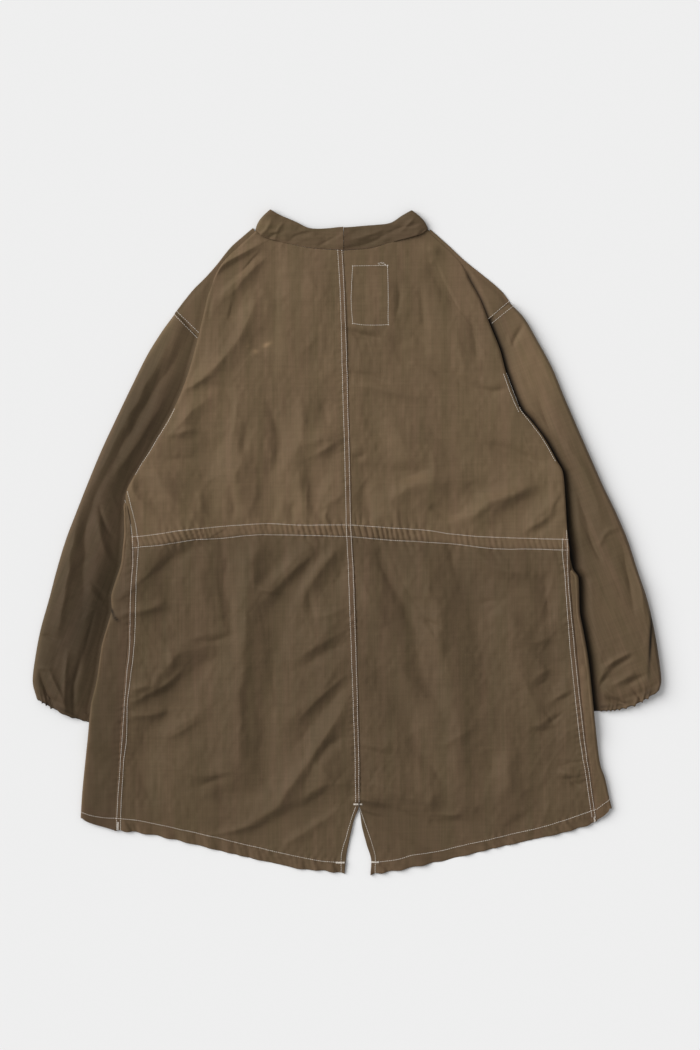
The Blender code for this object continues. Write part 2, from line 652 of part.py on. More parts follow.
def build_parka():
    """Every piece of the parka."""
    back_half("back_left", -1, NECK_LEFT, FOLD_EDGE_LEFT, CASING_TOP_LEFT, CASING_LOW_LEFT,
              SEAM_LEFT, VENT_LEFT, HEM_LEFT, (0.145, 0.098, 0.057))
    back_half("back_right", 1, NECK_RIGHT, FOLD_EDGE_RIGHT, CASING_TOP_RIGHT, CASING_LOW_RIGHT,
              SEAM_RIGHT, VENT_RIGHT, HEM_RIGHT, (0.140, 0.095, 0.056))
    front_half("front_left", -1, FRONT_TOP_LEFT, SLEEVE_LEFT, OPEN_ROWS_LEFT, ARMPIT_LEFT,
               FRONT_WAIST_LEFT, SIDE_LEFT, FRONT_HEM_LEFT, SEAM_LEFT, (0.128, 0.086, 0.050))
    front_half("front_right", 1, FRONT_TOP_RIGHT, SLEEVE_RIGHT, OPEN_ROWS_RIGHT, ARMPIT_RIGHT,
               FRONT_WAIST_RIGHT, SIDE_RIGHT, FRONT_HEM_RIGHT, SEAM_RIGHT, (0.125, 0.084, 0.049))
    sleeve("sleeve_left", -1, SLEEVE_LEFT, OPEN_ROWS_LEFT, COVER_LEFT, WRIST_BULGE_LEFT,
           (0.100, 0.069, 0.042))
    sleeve("sleeve_right", 1, SLEEVE_RIGHT, OPEN_ROWS_RIGHT, COVER_RIGHT, WRIST_BULGE_RIGHT,
           (0.112, 0.078, 0.046))
    shoulder_corner("back_left_shoulder", SHOULDER_LEFT, CORNER_INNER_LEFT, SLEEVE_LEFT[0],
                    (0.120, 0.082, 0.048))
    shoulder_corner("back_right_shoulder", SHOULDER_RIGHT, CORNER_INNER_RIGHT, SLEEVE_RIGHT[0],
                    (0.132, 0.091, 0.052))
    collar_half("collar_left", -1, NECK_LEFT, COLLAR_TOP_LEFT, COLLAR_FRONT_NECK_LEFT,
                COLLAR_FRONT_TOP_LEFT, (0.106, 0.073, 0.044))
    collar_half("collar_right", 1, NECK_RIGHT, COLLAR_TOP_RIGHT, COLLAR_FRONT_NECK_RIGHT,
                COLLAR_FRONT_TOP_RIGHT, (0.098, 0.068, 0.042))


# Edges that cover a sleeve: the back's armhole fold, then the side fold
COVER_LEFT = FOLD_EDGE_LEFT[4:13] + SIDE_LEFT[1:]
COVER_RIGHT = FOLD_EDGE_RIGHT[5:18] + SIDE_RIGHT[1:]

for old in list(bpy.data.objects):
    bpy.data.objects.remove(old, do_unlink=True)
PARKA = bpy.data.collections.new("fishtail_parka")
bpy.context.scene.collection.children.link(PARKA)
build_parka()
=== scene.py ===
# %% [markdown]
# # Fishtail parka, laid flat with its back side up
#
# The parka is cloth all over: two back halves, two fronts that wrap round the side folds, two
# sleeves, a stand collar in two halves, and the back's own corners folded under at the shoulders.
# Each piece is modelled as a fine sheet over the form of its CAD solid. It could be draped by a
# cloth simulation, but the creases of a worn, flattened coat are particular ones, so here they
# are placed in tables and shaped by short functions of distance.

# %% The frame
import bpy
import math
import numpy as np
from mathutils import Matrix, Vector
from mathutils.bvhtree import BVHTree


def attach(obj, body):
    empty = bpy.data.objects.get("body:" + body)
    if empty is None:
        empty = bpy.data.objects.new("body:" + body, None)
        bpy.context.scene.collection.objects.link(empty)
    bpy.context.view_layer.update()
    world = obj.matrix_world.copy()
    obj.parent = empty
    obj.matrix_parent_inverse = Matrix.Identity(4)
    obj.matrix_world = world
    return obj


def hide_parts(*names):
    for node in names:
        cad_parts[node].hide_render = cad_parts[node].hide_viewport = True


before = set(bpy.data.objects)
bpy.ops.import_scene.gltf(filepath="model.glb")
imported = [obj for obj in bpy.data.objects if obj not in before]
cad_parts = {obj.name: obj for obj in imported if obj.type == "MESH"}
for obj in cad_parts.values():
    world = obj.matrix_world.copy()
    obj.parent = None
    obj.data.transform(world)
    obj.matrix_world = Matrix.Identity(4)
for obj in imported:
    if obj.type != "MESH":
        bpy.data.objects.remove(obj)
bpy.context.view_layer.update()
MM = 0.001                      # every table below is in millimetres


def placed_in_scene(name, data):
    """A new object in the scene, at the origin."""
    made = bpy.data.objects.new(name, data)
    bpy.context.scene.collection.objects.link(made)
    return made


print("CAD nodes:", sorted(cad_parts))

# %% [markdown]
# ## Edge tables
#
# The outline and the seams come first, as the same short tables that shape the CAD: x towards the
# wearer's right hand and y towards the collar, from the middle of the garment. Keeping them as
# tables of edge points means every sheet, crease and stitch row can be laid out from them.

# %% Edges of the pieces
LEFT, RIGHT = -1, 1       # every table of both sides is looked up by its side
NECK = {
    LEFT: [(-5, 414), (-50, 417), (-77, 422), (-98, 427), (-119, 433), (-129, 442)],
    RIGHT: [(-5, 414), (34, 417), (62, 425), (89, 432), (105, 437), (114, 444)],
}
COLLAR_TOP = {
    LEFT: [(-5, 445), (-51, 444), (-74, 454), (-97, 464), (-109, 471)],
    RIGHT: [(-5, 447), (40, 449), (62, 452), (78, 462), (92, 470)],
}
VENT = {
    LEFT: [(17, -375), (9, -399), (2, -430), (-1, -447), (-3, -470)],
    RIGHT: [(18, -375), (20, -399), (28, -430), (34, -450), (33, -471)],
}
FOLD_EDGE = {
    LEFT: [(-129, 442), (-143, 429), (-157, 416), (-171, 402), (-183, 386), (-195, 360), (-204, 322),
     (-213, 285), (-229, 229), (-247, 187), (-280, 129), (-305, 88), (-314, 65), (-307, 28), (-305, 7)],
    RIGHT: [(114, 444), (128, 431), (147, 414), (162, 398), (169, 384), (173, 373), (189, 344), (203, 308),
     (217, 273), (226, 239), (239, 203), (247, 187), (260, 173), (281, 145), (297, 116), (306, 99),
     (310, 53), (312, 16), (313, 7)],
}
CASING_TOP = {
    LEFT: [(7, 24), (-74, 24), (-116, 26), (-160, 23), (-199, 20), (-241, 16), (-277, 10), (-306, 7)],
    RIGHT: [(7, 24), (61, 20), (108, 17), (155, 11), (202, 7), (261, 5), (313, 4)],
}
CASING_LOW = {
    LEFT: [(8, 7), (-82, 10), (-131, 10), (-180, 5), (-219, 3), (-253, -3), (-277, -6), (-305, -9)],
    RIGHT: [(8, 7), (61, 3), (108, 0), (155, -3), (214, -10), (261, -10), (315, -11)],
}
SEAM = {
    LEFT: [(-305, -9), (-305, -26), (-309, -87), (-311, -149), (-315, -187), (-320, -251), (-324, -310),
     (-330, -408)],
    RIGHT: [(315, -11), (316, -55), (320, -104), (325, -152), (331, -213), (339, -280), (345, -325),
     (355, -396)],
}
HEM = {
    LEFT: [(-3, -470), (-29, -466), (-67, -463), (-118, -452), (-190, -435), (-234, -424), (-286, -413),
     (-330, -408)],
    RIGHT: [(33, -471), (78, -464), (160, -446), (212, -433), (258, -423), (313, -410), (355, -396)],
}
SIDE = {
    LEFT: [(-318, -9), (-321, -33), (-334, -74), (-334, -97), (-340, -119), (-348, -148), (-355, -196),
     (-363, -231), (-368, -281), (-372, -317), (-376, -359), (-378, -392)],
    RIGHT: [(315, -11), (320, -38), (328, -50), (330, -99), (335, -125), (342, -165), (347, -209),
     (352, -258), (359, -314), (366, -335), (372, -362), (376, -378)],
}
FRONT_TOP = {
    LEFT: [(-1, 327), (-50, 337), (-87, 364), (-109, 398), (-124, 425), (-132, 431), (-146, 430),
     (-163, 413), (-182, 389), (-198, 372), (-215, 355), (-229, 338), (-241, 324)],
    RIGHT: [(1, 327), (44, 337), (78, 364), (97, 398), (109, 425), (117, 433), (126, 430), (144, 414),
     (163, 397), (184, 380), (205, 363), (219, 349), (228, 339)],
}
ARMPIT = {
    LEFT: [(-314, 58), (-316, 36), (-316, 13)],
    RIGHT: [(305, 50), (312, 13)],
}
FRONT_WAIST = {
    LEFT: [(-1, -9), (-159, -9), (-318, -9)],
    RIGHT: [(1, -11), (158, -11), (315, -11)],
}
FRONT_HEM = {
    LEFT: [(-1, -359), (-159, -368), (-280, -381), (-378, -392)],
    RIGHT: [(1, -359), (160, -365), (274, -372), (376, -378)],
}
SHOULDER = {
    LEFT: [(-133, 445), (-146, 434), (-165, 417), (-185, 392), (-200, 375), (-217, 358), (-231, 341),
     (-244, 325)],
    RIGHT: [(118, 443), (127, 435), (146, 418), (165, 400), (186, 383), (207, 366), (222, 352), (231, 340)],
}
CORNER_INNER = {
    LEFT: [(-115, 410), (-138, 389), (-155, 365), (-172, 341), (-186, 318), (-196, 300), (-204, 285)],
    RIGHT: [(104, 417), (115, 398), (135, 378), (153, 355), (169, 332), (182, 315), (192, 307)],
}
COLLAR_FRONT_NECK = {
    LEFT: [(-129, 442), (-109, 400), (-85, 366), (-49, 339), (-1, 329)],
    RIGHT: [(114, 444), (96, 400), (77, 366), (43, 339), (1, 329)],
}
COLLAR_FRONT_TOP = {
    LEFT: [(-109, 471), (-81, 420), (-61, 390), (-36, 371), (-1, 362)],
    RIGHT: [(92, 470), (68, 420), (51, 390), (30, 371), (1, 362)],
}
CB_UPPER = [(-5, 413), (-1, 337), (1, 258), (6, 88), (7, 24)]
CB_LOWER = [(8, 7), (11, -54), (16, -196), (19, -310), (19, -345)]
# Sleeve rows from the shoulder to the wrist: outer_x, outer_y, inner_x, inner_y
SLEEVE = {
    LEFT: [(-244, 324, -210, 290), (-261, 301, -209, 273), (-283, 266, -216, 237), (-305, 222, -229, 199),
     (-327, 176, -248, 162), (-348, 131, -268, 119), (-366, 88, -277, 78), (-383, 45, -258, 31),
     (-399, 3, -268, -11), (-412, -40, -280, -57), (-423, -82, -293, -101), (-435, -125, -307, -148),
     (-443, -168, -324, -196), (-446, -199, -339, -229), (-440, -223, -358, -258)],
    RIGHT: [(231, 339, 199, 314), (251, 318, 199, 297), (271, 284, 207, 266), (291, 247, 217, 230),
     (308, 206, 230, 195), (327, 162, 246, 159), (345, 121, 268, 119), (364, 78, 275, 78),
     (381, 43, 257, 31), (398, 3, 267, -11), (412, -40, 281, -57), (426, -82, 298, -101),
     (436, -125, 314, -146), (443, -168, 331, -196), (446, -197, 345, -227), (443, -210, 348, -240)],
}
OPEN_ROWS = {LEFT: 7, RIGHT: 8}     # rows above the armpit, whose inner side is the armhole
print("edge tables:", len(NECK[LEFT] + HEM[LEFT] + SEAM[LEFT]), "points on the left back's rim")

# %% [markdown]
# ## Curves and sheets
#
# A panel is a grid of points blended from its four edges, as a maker would lay cloth between them.
# The helpers below draw a smooth curve through a table, blend a grid between four curves, and
# give soft steps, so the later cells only say where things are and how high they stand.

# %% Curves through tables
def smoothstep(value):
    """A soft step from 0 to 1 as the value goes from 0 to 1."""
    value = np.clip(value, 0.0, 1.0)
    return value * value * (3.0 - 2.0 * value)


def bell(value):
    """A soft bump: 1 at 0, fading away on both sides."""
    return np.exp(-value ** 2)


def rounded(distance):
    """A quarter circle's rise, from 0 at no distance to 1 at one or more."""
    near = np.clip(1.0 - distance, 0.0, 1.0)
    return np.sqrt(1.0 - near ** 2)


def raised(plan, height):
    """Plan points with their heights."""
    return np.concatenate([plan, height[..., None]], axis=-1)


def sampled(table, fractions):
    """Points at these fractions of the length of a smooth curve through a table's rows."""
    knots = np.array(table, float)
    before = 2.0 * knots[0] - knots[1]
    after = 2.0 * knots[-1] - knots[-2]
    padded = np.vstack([before, knots, after])
    step = np.linspace(0.0, 1.0, 12, endpoint=False)[:, None]
    runs = []
    for a, b, c, d in zip(padded, padded[1:], padded[2:], padded[3:]):
        slope_b = (c - a) * 0.5
        slope_c = (d - b) * 0.5
        # A short span next to a long one keeps a short slope, so the curve can't overshoot
        span = np.linalg.norm(c - b)
        slope_b = slope_b * min(1.0, span / max(np.linalg.norm(slope_b), 1e-9))
        slope_c = slope_c * min(1.0, span / max(np.linalg.norm(slope_c), 1e-9))
        cube = step ** 3
        square = step ** 2
        runs.append(b * (2 * cube - 3 * square + 1) + slope_b * (cube - 2 * square + step)
                    + c * (3 * square - 2 * cube) + slope_c * (cube - square))
    fine = np.vstack(runs + [knots[-1:]])
    lengths = np.linalg.norm(np.diff(fine, axis=0), axis=1)
    along = np.concatenate([[0.0], np.cumsum(lengths)])
    wanted = np.asarray(fractions) * along[-1]
    return np.column_stack([np.interp(wanted, along, column) for column in fine.T])


def patch(top, bottom, inner, outer_points, across, down):
    """Rows of plan points blended from three edge tables and the outer end of each row."""
    top_points = sampled(top, across)
    bottom_points = sampled(bottom, across)
    inner_points = sampled(inner, down)
    u = np.asarray(across)[None, :, None]
    v = np.asarray(down)[:, None, None]
    between = (1 - v) * top_points[None] + v * bottom_points[None]
    sides = (1 - u) * inner_points[:, None] + u * outer_points[:, None]
    corners = ((1 - v) * ((1 - u) * top_points[0] + u * top_points[-1])
               + v * ((1 - u) * bottom_points[0] + u * bottom_points[-1]))
    return between + sides - corners


def edge_x(y, table):
    """Where a down-running edge table is at a height."""
    edge = np.array(table, float)
    order = np.argsort(edge[:, 1])
    return np.interp(y, edge[order, 1], edge[order, 0])


def beyond(points, table, side):
    """How far plan points lie outside a down-running edge table, on the left (-1) or right (1)."""
    return side * (points[..., 0] - edge_x(points[..., 1], table))


def along_path(points, path):
    """Signed distance of plan points to a polyline, and how far along it the nearest spot is."""
    path = np.asarray(path, float)
    flat = points.reshape(-1, 2)
    starts = path[:-1]
    spans = np.diff(path, axis=0)
    lengths = np.linalg.norm(spans, axis=1)
    before = np.concatenate([[0.0], np.cumsum(lengths)])[:-1]
    best = np.full(len(flat), 1e9)
    signed = np.zeros(len(flat))
    run = np.zeros(len(flat))
    for start, span, length, so_far in zip(starts, spans, lengths, before):
        rel = flat - start
        t = np.clip(rel @ span / length ** 2, 0.0, 1.0)
        off = rel - t[:, None] * span
        distance = np.hypot(off[:, 0], off[:, 1])
        side = np.sign(span[0] * rel[:, 1] - span[1] * rel[:, 0])
        nearer = distance < best
        best = np.where(nearer, distance, best)
        signed = np.where(nearer, distance * side, signed)
        run = np.where(nearer, so_far + t * length, run)
    return signed.reshape(points.shape[:-1]), run.reshape(points.shape[:-1])


print("patch of the left back's yoke:", patch(NECK[LEFT], CASING_TOP[LEFT], CB_UPPER,
      sampled(FOLD_EDGE[LEFT], [0, 0.5, 1]), [0, 0.5, 1], [0, 0.5, 1]).shape)

# %% [markdown]
# ## Crumple
#
# Thin crisp cloth that has been worn and pressed flat is never quite even. The crumple is smooth
# value noise in plan, stretched along the threads, with a sharper kind for the short broken
# creases. It is made with a fixed seed so that the same coat comes out every time.

# %% Smooth noise in plan
NOISE_CELLS = 96                # size of the square of random numbers that the noise repeats
noise_grid = np.random.default_rng(7).uniform(-1.0, 1.0, (NOISE_CELLS, NOISE_CELLS))


def noise(x, y, cell_x, cell_y, shift=0.0):
    """Smooth noise from -1 to 1 with cells of this many millimetres."""
    u = x / cell_x + shift * 7.31 + 400.0
    v = y / cell_y + shift * 3.17 + 400.0
    column = np.floor(u).astype(int)
    row = np.floor(v).astype(int)
    fu = u - column
    fv = v - row
    fu = fu ** 3 * (fu * (6.0 * fu - 15.0) + 10.0)
    fv = fv ** 3 * (fv * (6.0 * fv - 15.0) + 10.0)
    a = noise_grid[row % NOISE_CELLS, column % NOISE_CELLS]
    b = noise_grid[row % NOISE_CELLS, (column + 1) % NOISE_CELLS]
    c = noise_grid[(row + 1) % NOISE_CELLS, column % NOISE_CELLS]
    d = noise_grid[(row + 1) % NOISE_CELLS, (column + 1) % NOISE_CELLS]
    return (a * (1 - fu) + b * fu) * (1 - fv) + (c * (1 - fu) + d * fu) * fv


def noise_along(run, cell, shift):
    """The same noise along a line alone."""
    return noise(run, np.zeros_like(run), cell, 1.0, shift)


def pleats(phase):
    """A row of soft folds with sharp valleys between them, one per unit of phase."""
    return np.abs(np.sin(np.pi * phase))


def turned(x, y, degrees):
    """Plan coordinates turned by an angle."""
    angle = math.radians(degrees)
    return (x * math.cos(angle) + y * math.sin(angle), y * math.cos(angle) - x * math.sin(angle))


def crumple(x, y, shift):
    """Soft unevenness of flattened cloth in millimetres, longer along the warp."""
    soft = 0.55 * noise(x, y, 34.0, 95.0, shift) + 0.30 * noise(x, y, 17.0, 43.0, shift + 1)
    total = soft + 0.10 * noise(x, y, 8.0, 17.0, shift + 2)
    for degrees, strength in ((28, 0.30), (-34, 0.34), (78, 0.22)):
        a, b = turned(x, y, degrees)
        bend = a + 7.0 * noise(x, y, 60.0, 60.0, shift + 3 + degrees)
        ridge = 1.0 - np.abs(noise(bend, b, 19.0, 74.0, shift + degrees)) * 2.6
        where = smoothstep(noise(x, y, 80.0, 80.0, shift + 5 + degrees) * 1.6)
        total = total + strength * np.clip(ridge, 0.0, 1.0) ** 2 * where
    return total


sample = crumple(*np.meshgrid(np.arange(-300.0, 300.0, 3.0), np.arange(-400.0, 400.0, 3.0)), 0.0)
print("crumple height:", round(float(sample.min()), 2), "to", round(float(sample.max()), 2), "mm")

# %% [markdown]
# ## How high the cloth stands
#
# Flattened cloth rests on whatever lies below it: one layer of front, or a front and both layers
# of a sleeve. The heights below are the middle of each layer. They are a little fuller than the
# CAD's, since crisp cloth keeps some air in its folds, and they keep the order of the layers.

# %% Layer heights
FLOOR_LAYER = 0.5         # front lying on the surface
SLEEVE_LAYER = 2.3        # upper sleeve wall where the body covers it
TOP_LAYER = 6.2           # back over one flat layer
LIFT = 4.6                # rise of the body over a sleeve
LIFT_RAMP = 72.0          # width of the slope up to it
LIFT_MARGIN = 21.0        # full height this far before the sleeve's fold
ARMPIT_RAMP = 31.0        # height of the slope below the armpit
CUFF_RAMP = 34.0          # and of the one above the cuff
HEM_LAYER = 2.7           # back where the fishtail passes the front hem
HEM_RAMP = 55.0           # height of the slope down to it
EDGE_ROLL = 1.7           # radius of a fold's edge
RAW_ROLL = 0.35           # radius where the cloth ends in a seam


def sleeve_lift(points, side):
    """How much the body is raised by the sleeve under it."""
    inner = [row[2:] for row in SLEEVE[side][OPEN_ROWS[side] - 2:]]
    past = beyond(points, inner, side)
    slope = smoothstep((past + LIFT_MARGIN + LIFT_RAMP) / LIFT_RAMP)
    above = smoothstep((inner[0][1] - points[..., 1]) / ARMPIT_RAMP)
    below = smoothstep((points[..., 1] - inner[-1][1] + LIFT_MARGIN + CUFF_RAMP) / CUFF_RAMP)
    return LIFT * slope * above * below


def body_lift(points):
    """How much the body is raised by both sleeves."""
    return sleeve_lift(points, LEFT) + sleeve_lift(points, RIGHT)


spots = np.array([(-320.0, -100.0), (0.0, 0.0), (330.0, -100.0)])
print("body lift at the left side, middle and right side:", body_lift(spots).round(2), "mm")

# %% [markdown]
# ## Creases
#
# Each crease is a row in a table: where it starts, bends and ends, half its width, its height (a
# trough is negative) and its lean, if it has one. A crease in crisp cloth is a trough with a ridge
# thrown up beside it, so a leaning crease gets a companion of the other sign on that side.

# %% Creases
BODY_CREASES = [
    (-135, 1, -146, -153, -158, -345, 25, 6.5), (-49, -4, -83, -32, -120, -72, 19, 6.5),
    (-51, -30, -95, -92, -102, -228, 26, -6), (-119, -210, -116, -281, -114, -355, 26, -5.8),
    (-15, -8, -42, -36, -65, -76, 11, 3.2), (-2, -16, -14, -47, -35, -75, 21, -4.2),
    (0, -103, -34, -133, -66, -157, 25, 3.9), (-2, -142, -37, -159, -73, -182, 12.5, -3.6),
    (-5, -162, -38, -210, -88, -262, 17.5, 3.5), (4, -196, -36, -241, -81, -300, 14, -3.5),
    (0, -227, -38, -290, -78, -344, 15.5, 6.5), (-63, -320, -100, -375, -156, -408, 16.5, 6.5),
    (-4, -276, -28, -290, -44, -315, 9.5, -4.2), (-49, -319, -32, -327, -17, -341, 26, 6.5),
    (1, -374, -67, -388, -151, -423, 26, -6), (-17, -384, -53, -405, -86, -429, 12, 4.6),
    (-204, -26, -204, -77, -182, -114, 19, 3.5), (-187, -146, -238, -159, -286, -213, 23, 6.5),
    (-173, -152, -214, -187, -275, -265, 22, -5.8), (-244, -26, -254, -80, -263, -132, 26, -5.2),
    (-262, -18, -288, -52, -318, -72, 19, 6.5), (-257, -85, -293, -97, -330, -107, 9.5, 4.3),
    (-172, -9, -169, -82, -161, -146, 19, -3.9), (-266, -309, -209, -331, -158, -322, 12.5, 4.9),
    (-288, -274, -287, -331, -274, -375, 22, -5.9), (-180, -356, -145, -362, -118, -346, 16.5, -6),
    (-212, -253, -229, -264, -252, -278, 7, 2.5), (39, -7, 77, -81, 103, -142, 16.5, -6),
    (94, -138, 108, -192, 134, -239, 17.5, -5.1), (99, -3, 127, -96, 144, -180, 25, 5.1),
    (142, -175, 160, -260, 157, -352, 26, 4.6), (152, -25, 185, -102, 195, -159, 26, -5.2),
    (192, -160, 206, -210, 234, -229, 25, -3.9), (170, -7, 212, -37, 261, -45, 15.5, 6.5),
    (212, -92, 238, -121, 252, -149, 26, 6.5), (233, -155, 253, -204, 273, -257, 23, 6.1),
    (278, -43, 286, -89, 278, -114, 21, -6), (288, -139, 292, -175, 298, -207, 21, -6),
    (274, -268, 290, -267, 305, -278, 12.5, -4.3), (17, -49, 39, -83, 58, -119, 26, 6.1),
    (37, -184, 70, -223, 96, -269, 26, -5.5), (92, -276, 111, -309, 142, -345, 15.5, -4.9),
    (70, -157, 81, -190, 104, -217, 15.5, 2.6), (36, -335, 73, -357, 119, -375, 15.5, 6.5),
    (28, -375, 78, -390, 126, -427, 12, -5.8), (125, -426, 139, -445, 162, -448, 12.5, -6),
    (199, -295, 205, -314, 202, -334, 22, -3.8), (228, -288, 230, -332, 219, -364, 21, 4.2),
    (131, -397, 163, -398, 197, -406, 9.5, -3.3), (222, -422, 237, -406, 256, -387, 10.5, -5.9),
    (254, -352, 266, -365, 286, -372, 21, -3.6), (298, -326, 312, -328, 329, -334, 9.5, 4.5),
    (-95, 415, -114, 384, -104, 344, 25, -4.5), (-153, 399, -190, 354, -198, 298, 5, -1.4),
    (-201, 307, -213, 273, -227, 223, 12, -6), (-126, 400, -152, 378, -178, 351, 11, 3.8),
    (-127, 347, -144, 309, -162, 270, 14, 4.5), (-158, 280, -184, 249, -215, 230, 14, 6.5),
    (-147, 349, -155, 332, -170, 315, 23, -4.6), (-114, 304, -123, 286, -137, 270, 26, -6),
    (-196, 204, -223, 182, -246, 157, 16.5, 6.5), (-206, 224, -174, 215, -161, 191, 12.5, -3.5),
    (-175, 141, -201, 116, -191, 90, 26, -6), (-153, 177, -153, 110, -161, 51, 26, 6.5),
    (-113, 202, -94, 142, -108, 85, 15.5, -6), (-112, 91, -114, 60, -109, 30, 21, -5.1),
    (-63, 202, -64, 159, -74, 122, 14, 4.3), (-64, 134, -37, 144, -5, 149, 19, 5.9),
    (-31, 204, -31, 186, -33, 168, 15.5, -3.8), (-55, 119, -49, 90, -54, 64, 21, -5.2),
    (-69, 99, -66, 67, -63, 37, 11, 3.9), (-271, 108, -254, 65, -221, 40, 22, 6.5),
    (-305, 104, -302, 70, -273, 39, 9, 4.8), (-63, 385, -44, 360, -26, 339, 22, 3),
    (-55, 278, -42, 266, -22, 261, 21, -2.8), (117, 395, 141, 363, 165, 329, 17.5, -6),
    (43, 377, 60, 343, 57, 311, 26, 2.9), (68, 280, 130, 243, 202, 206, 12.5, -4.9),
    (3, 240, 26, 236, 52, 228, 7, -3.8), (7, 224, 53, 216, 103, 204, 9.5, 4.2),
    (24, 210, 36, 166, 57, 130, 21, -2.9), (55, 177, 79, 143, 89, 106, 22, 3.6),
    (6, 109, 58, 98, 109, 102, 16.5, -6), (64, 61, 97, 82, 146, 84, 21, 6.4),
    (31, 88, 27, 60, 37, 31, 19, -6), (118, 52, 143, 39, 170, 45, 12, -6),
    (176, 33, 201, 57, 261, 79, 12.5, 6.5), (285, 78, 252, 50, 218, 28, 26, -6),
    (298, 62, 275, 41, 258, 21, 10.5, 3), (173, 84, 177, 75, 180, 63, 9.5, -3.2),
    (114, 172, 137, 136, 187, 103, 16.5, -3.2), (201, 138, 241, 124, 281, 111, 9.5, -6),
    (90, 251, 75, 272, 80, 291, 15.5, -3.8), (-123, 422, -181, 390, -214, 354, 8, 6.5, 0.5),
    (-123, 409, -150, 386, -185, 358, 6, -2.8), (-114, 406, -136, 384, -171, 346, 8, 2.6, 0.3),
    (-208, 74, -208, 48, -204, 29, 9, 2.9, 0.4), (-165, 80, -161, 54, -161, 31, 9, -3, 0.4),
    (-129, 90, -131, 62, -145, 35, 6.5, 1.2, 0.4), (-102, 72, -103, 53, -107, 34, 6.5, -1.9, 0.4),
    (-56, 85, -57, 60, -56, 33, 6.5, 2.6, 0.4), (-16, 141, -30, 133, -44, 124, 7, 3.8, 0.4),
    (-19, 108, -34, 94, -50, 77, 16.5, -2.3, 0.4), (256, 75, 206, 52, 135, 24, 14, 3.8, -0.6),
    (267, 77, 224, 57, 182, 21, 8, 1.6, 0.3), (295, 55, 281, 34, 251, 16, 5, 3.2, 0.5),
    (185, 220, 206, 213, 226, 218, 5.5, -3, 0.5), (68, 88, 92, 94, 117, 103, 10.5, -4.6, 0.3),
    (7, 120, 16, 120, 26, 124, 6, -2.6, 0.4), (-3, 302, 21, 294, 47, 290, 5.5, -4.9, 0.5),
    (113, 418, 121, 415, 131, 411, 9.5, 3.2, 0.4), (-213, -6, -248, -28, -291, -60, 14, -6, -0.6),
    (-247, -92, -271, -94, -298, -101, 5, 1.6, 0.5), (-189, -24, -182, -83, -174, -129, 5.5, 1, 0.3),
    (-167, -126, -205, -132, -243, -149, 9.5, 1.9, 0.3),
    (-233, -180, -258, -203, -307, -229, 6.5, 3.8, 0.5), (-265, -206, -283, -204, -303, -208, 9, 6.2, 0.4),
    (-204, -241, -231, -258, -262, -275, 10.5, 2.5, 0.5),
    (-172, -331, -193, -339, -211, -348, 6.5, -2.6, 0.5), (-44, -9, -81, -47, -121, -85, 10.5, 4.1, -0.6),
    (-125, -3, -136, -36, -130, -70, 19, 5.8, 0.4), (-9, -7, -45, -51, -66, -89, 10.5, 3.9, -0.5),
    (-2, -123, -38, -145, -70, -166, 6.5, 1.6, 0.5), (0, -187, -39, -221, -71, -253, 5, 2, 0.5),
    (7, -344, -25, -342, -67, -364, 14, 4.2, 0.4), (112, -109, 121, -122, 130, -139, 6.5, -1.9, 0.5),
    (183, -259, 161, -274, 135, -290, 6.5, 1.4, 0.5), (293, -45, 284, -77, 270, -113, 6.5, 1.2, 0.5),
    (290, -131, 276, -139, 256, -144, 7, 2, 0.5), (294, -174, 279, -184, 262, -196, 9.5, 3.6, 0.5),
    (316, -210, 302, -217, 288, -227, 5.5, 2.2, 0.5), (294, -242, 278, -256, 257, -264, 7, 2, 0.5),
    (121, -355, 119, -369, 118, -383, 9.5, 2.8, 0.5), (15, -382, 71, -403, 134, -431, 14, -6, -0.5),
    (23, -281, 43, -290, 65, -293, 12, 3.6, 0.5), (314, -334, 321, -341, 332, -347, 6, -3.8, 0.4),
    (-252, -149, -249, -161, -246, -177, 9.5, 2.6), (-271, -178, -277, -194, -280, -212, 8.5, -2),
    (-305, -247, -281, -244, -249, -238, 9.5, 5.9), (-128, -65, -114, -68, -97, -71, 6, 3.9),
    (-216, -139, -192, -142, -163, -132, 7, -3), (-142, -204, -143, -239, -143, -277, 9.5, -1.7),
    (-182, -332, -180, -352, -179, -375, 9.5, -2.3), (-57, -372, -35, -356, -18, -332, 8.5, -1.9),
    (-192, -415, -159, -409, -121, -398, 5.5, 2.9), (-38, -105, -19, -100, -2, -95, 7, 2.2),
    (-55, -67, -52, -87, -48, -107, 9.5, -3.3), (-141, -4, -138, -33, -137, -61, 8.5, -2.3),
    (45, -9, 54, -31, 62, -59, 8.5, -3.6), (65, -21, 83, -63, 109, -104, 5.5, -2),
    (120, -120, 128, -137, 134, -160, 11, 2.8), (142, 0, 148, -14, 150, -36, 6, -2.9),
    (181, -88, 200, -85, 218, -84, 6, -2.5), (135, -386, 148, -388, 162, -386, 6, 3.5),
    (182, -378, 194, -387, 207, -398, 10.5, -3.8), (8, -375, 34, -385, 59, -393, 8.5, 6.5),
    (6, -368, 24, -365, 45, -371, 7.5, 5.2), (-231, 216, -214, 225, -193, 236, 6, 4.5),
    (-251, 154, -234, 156, -213, 158, 8.5, 4.8), (-251, 115, -229, 117, -206, 117, 10.5, -3.5),
    (-142, 168, -145, 148, -148, 128, 11, -4.5), (-157, 207, -158, 173, -165, 142, 6, 1.6),
    (-101, 408, -101, 329, -106, 224, 8.5, -1.3), (-35, 48, -21, 58, -7, 69, 7.5, 2),
    (-217, 54, -219, 40, -217, 27, 8.5, 2.3), (-78, 54, -78, 40, -77, 27, 8.5, -3.2),
    (-28, 45, -31, 36, -27, 26, 4.5, 2.6), (177, 322, 182, 290, 186, 257, 9.5, -2.8),
    (154, 308, 162, 267, 166, 222, 9.5, 1.7), (104, 362, 108, 333, 111, 299, 9.5, -2.5),
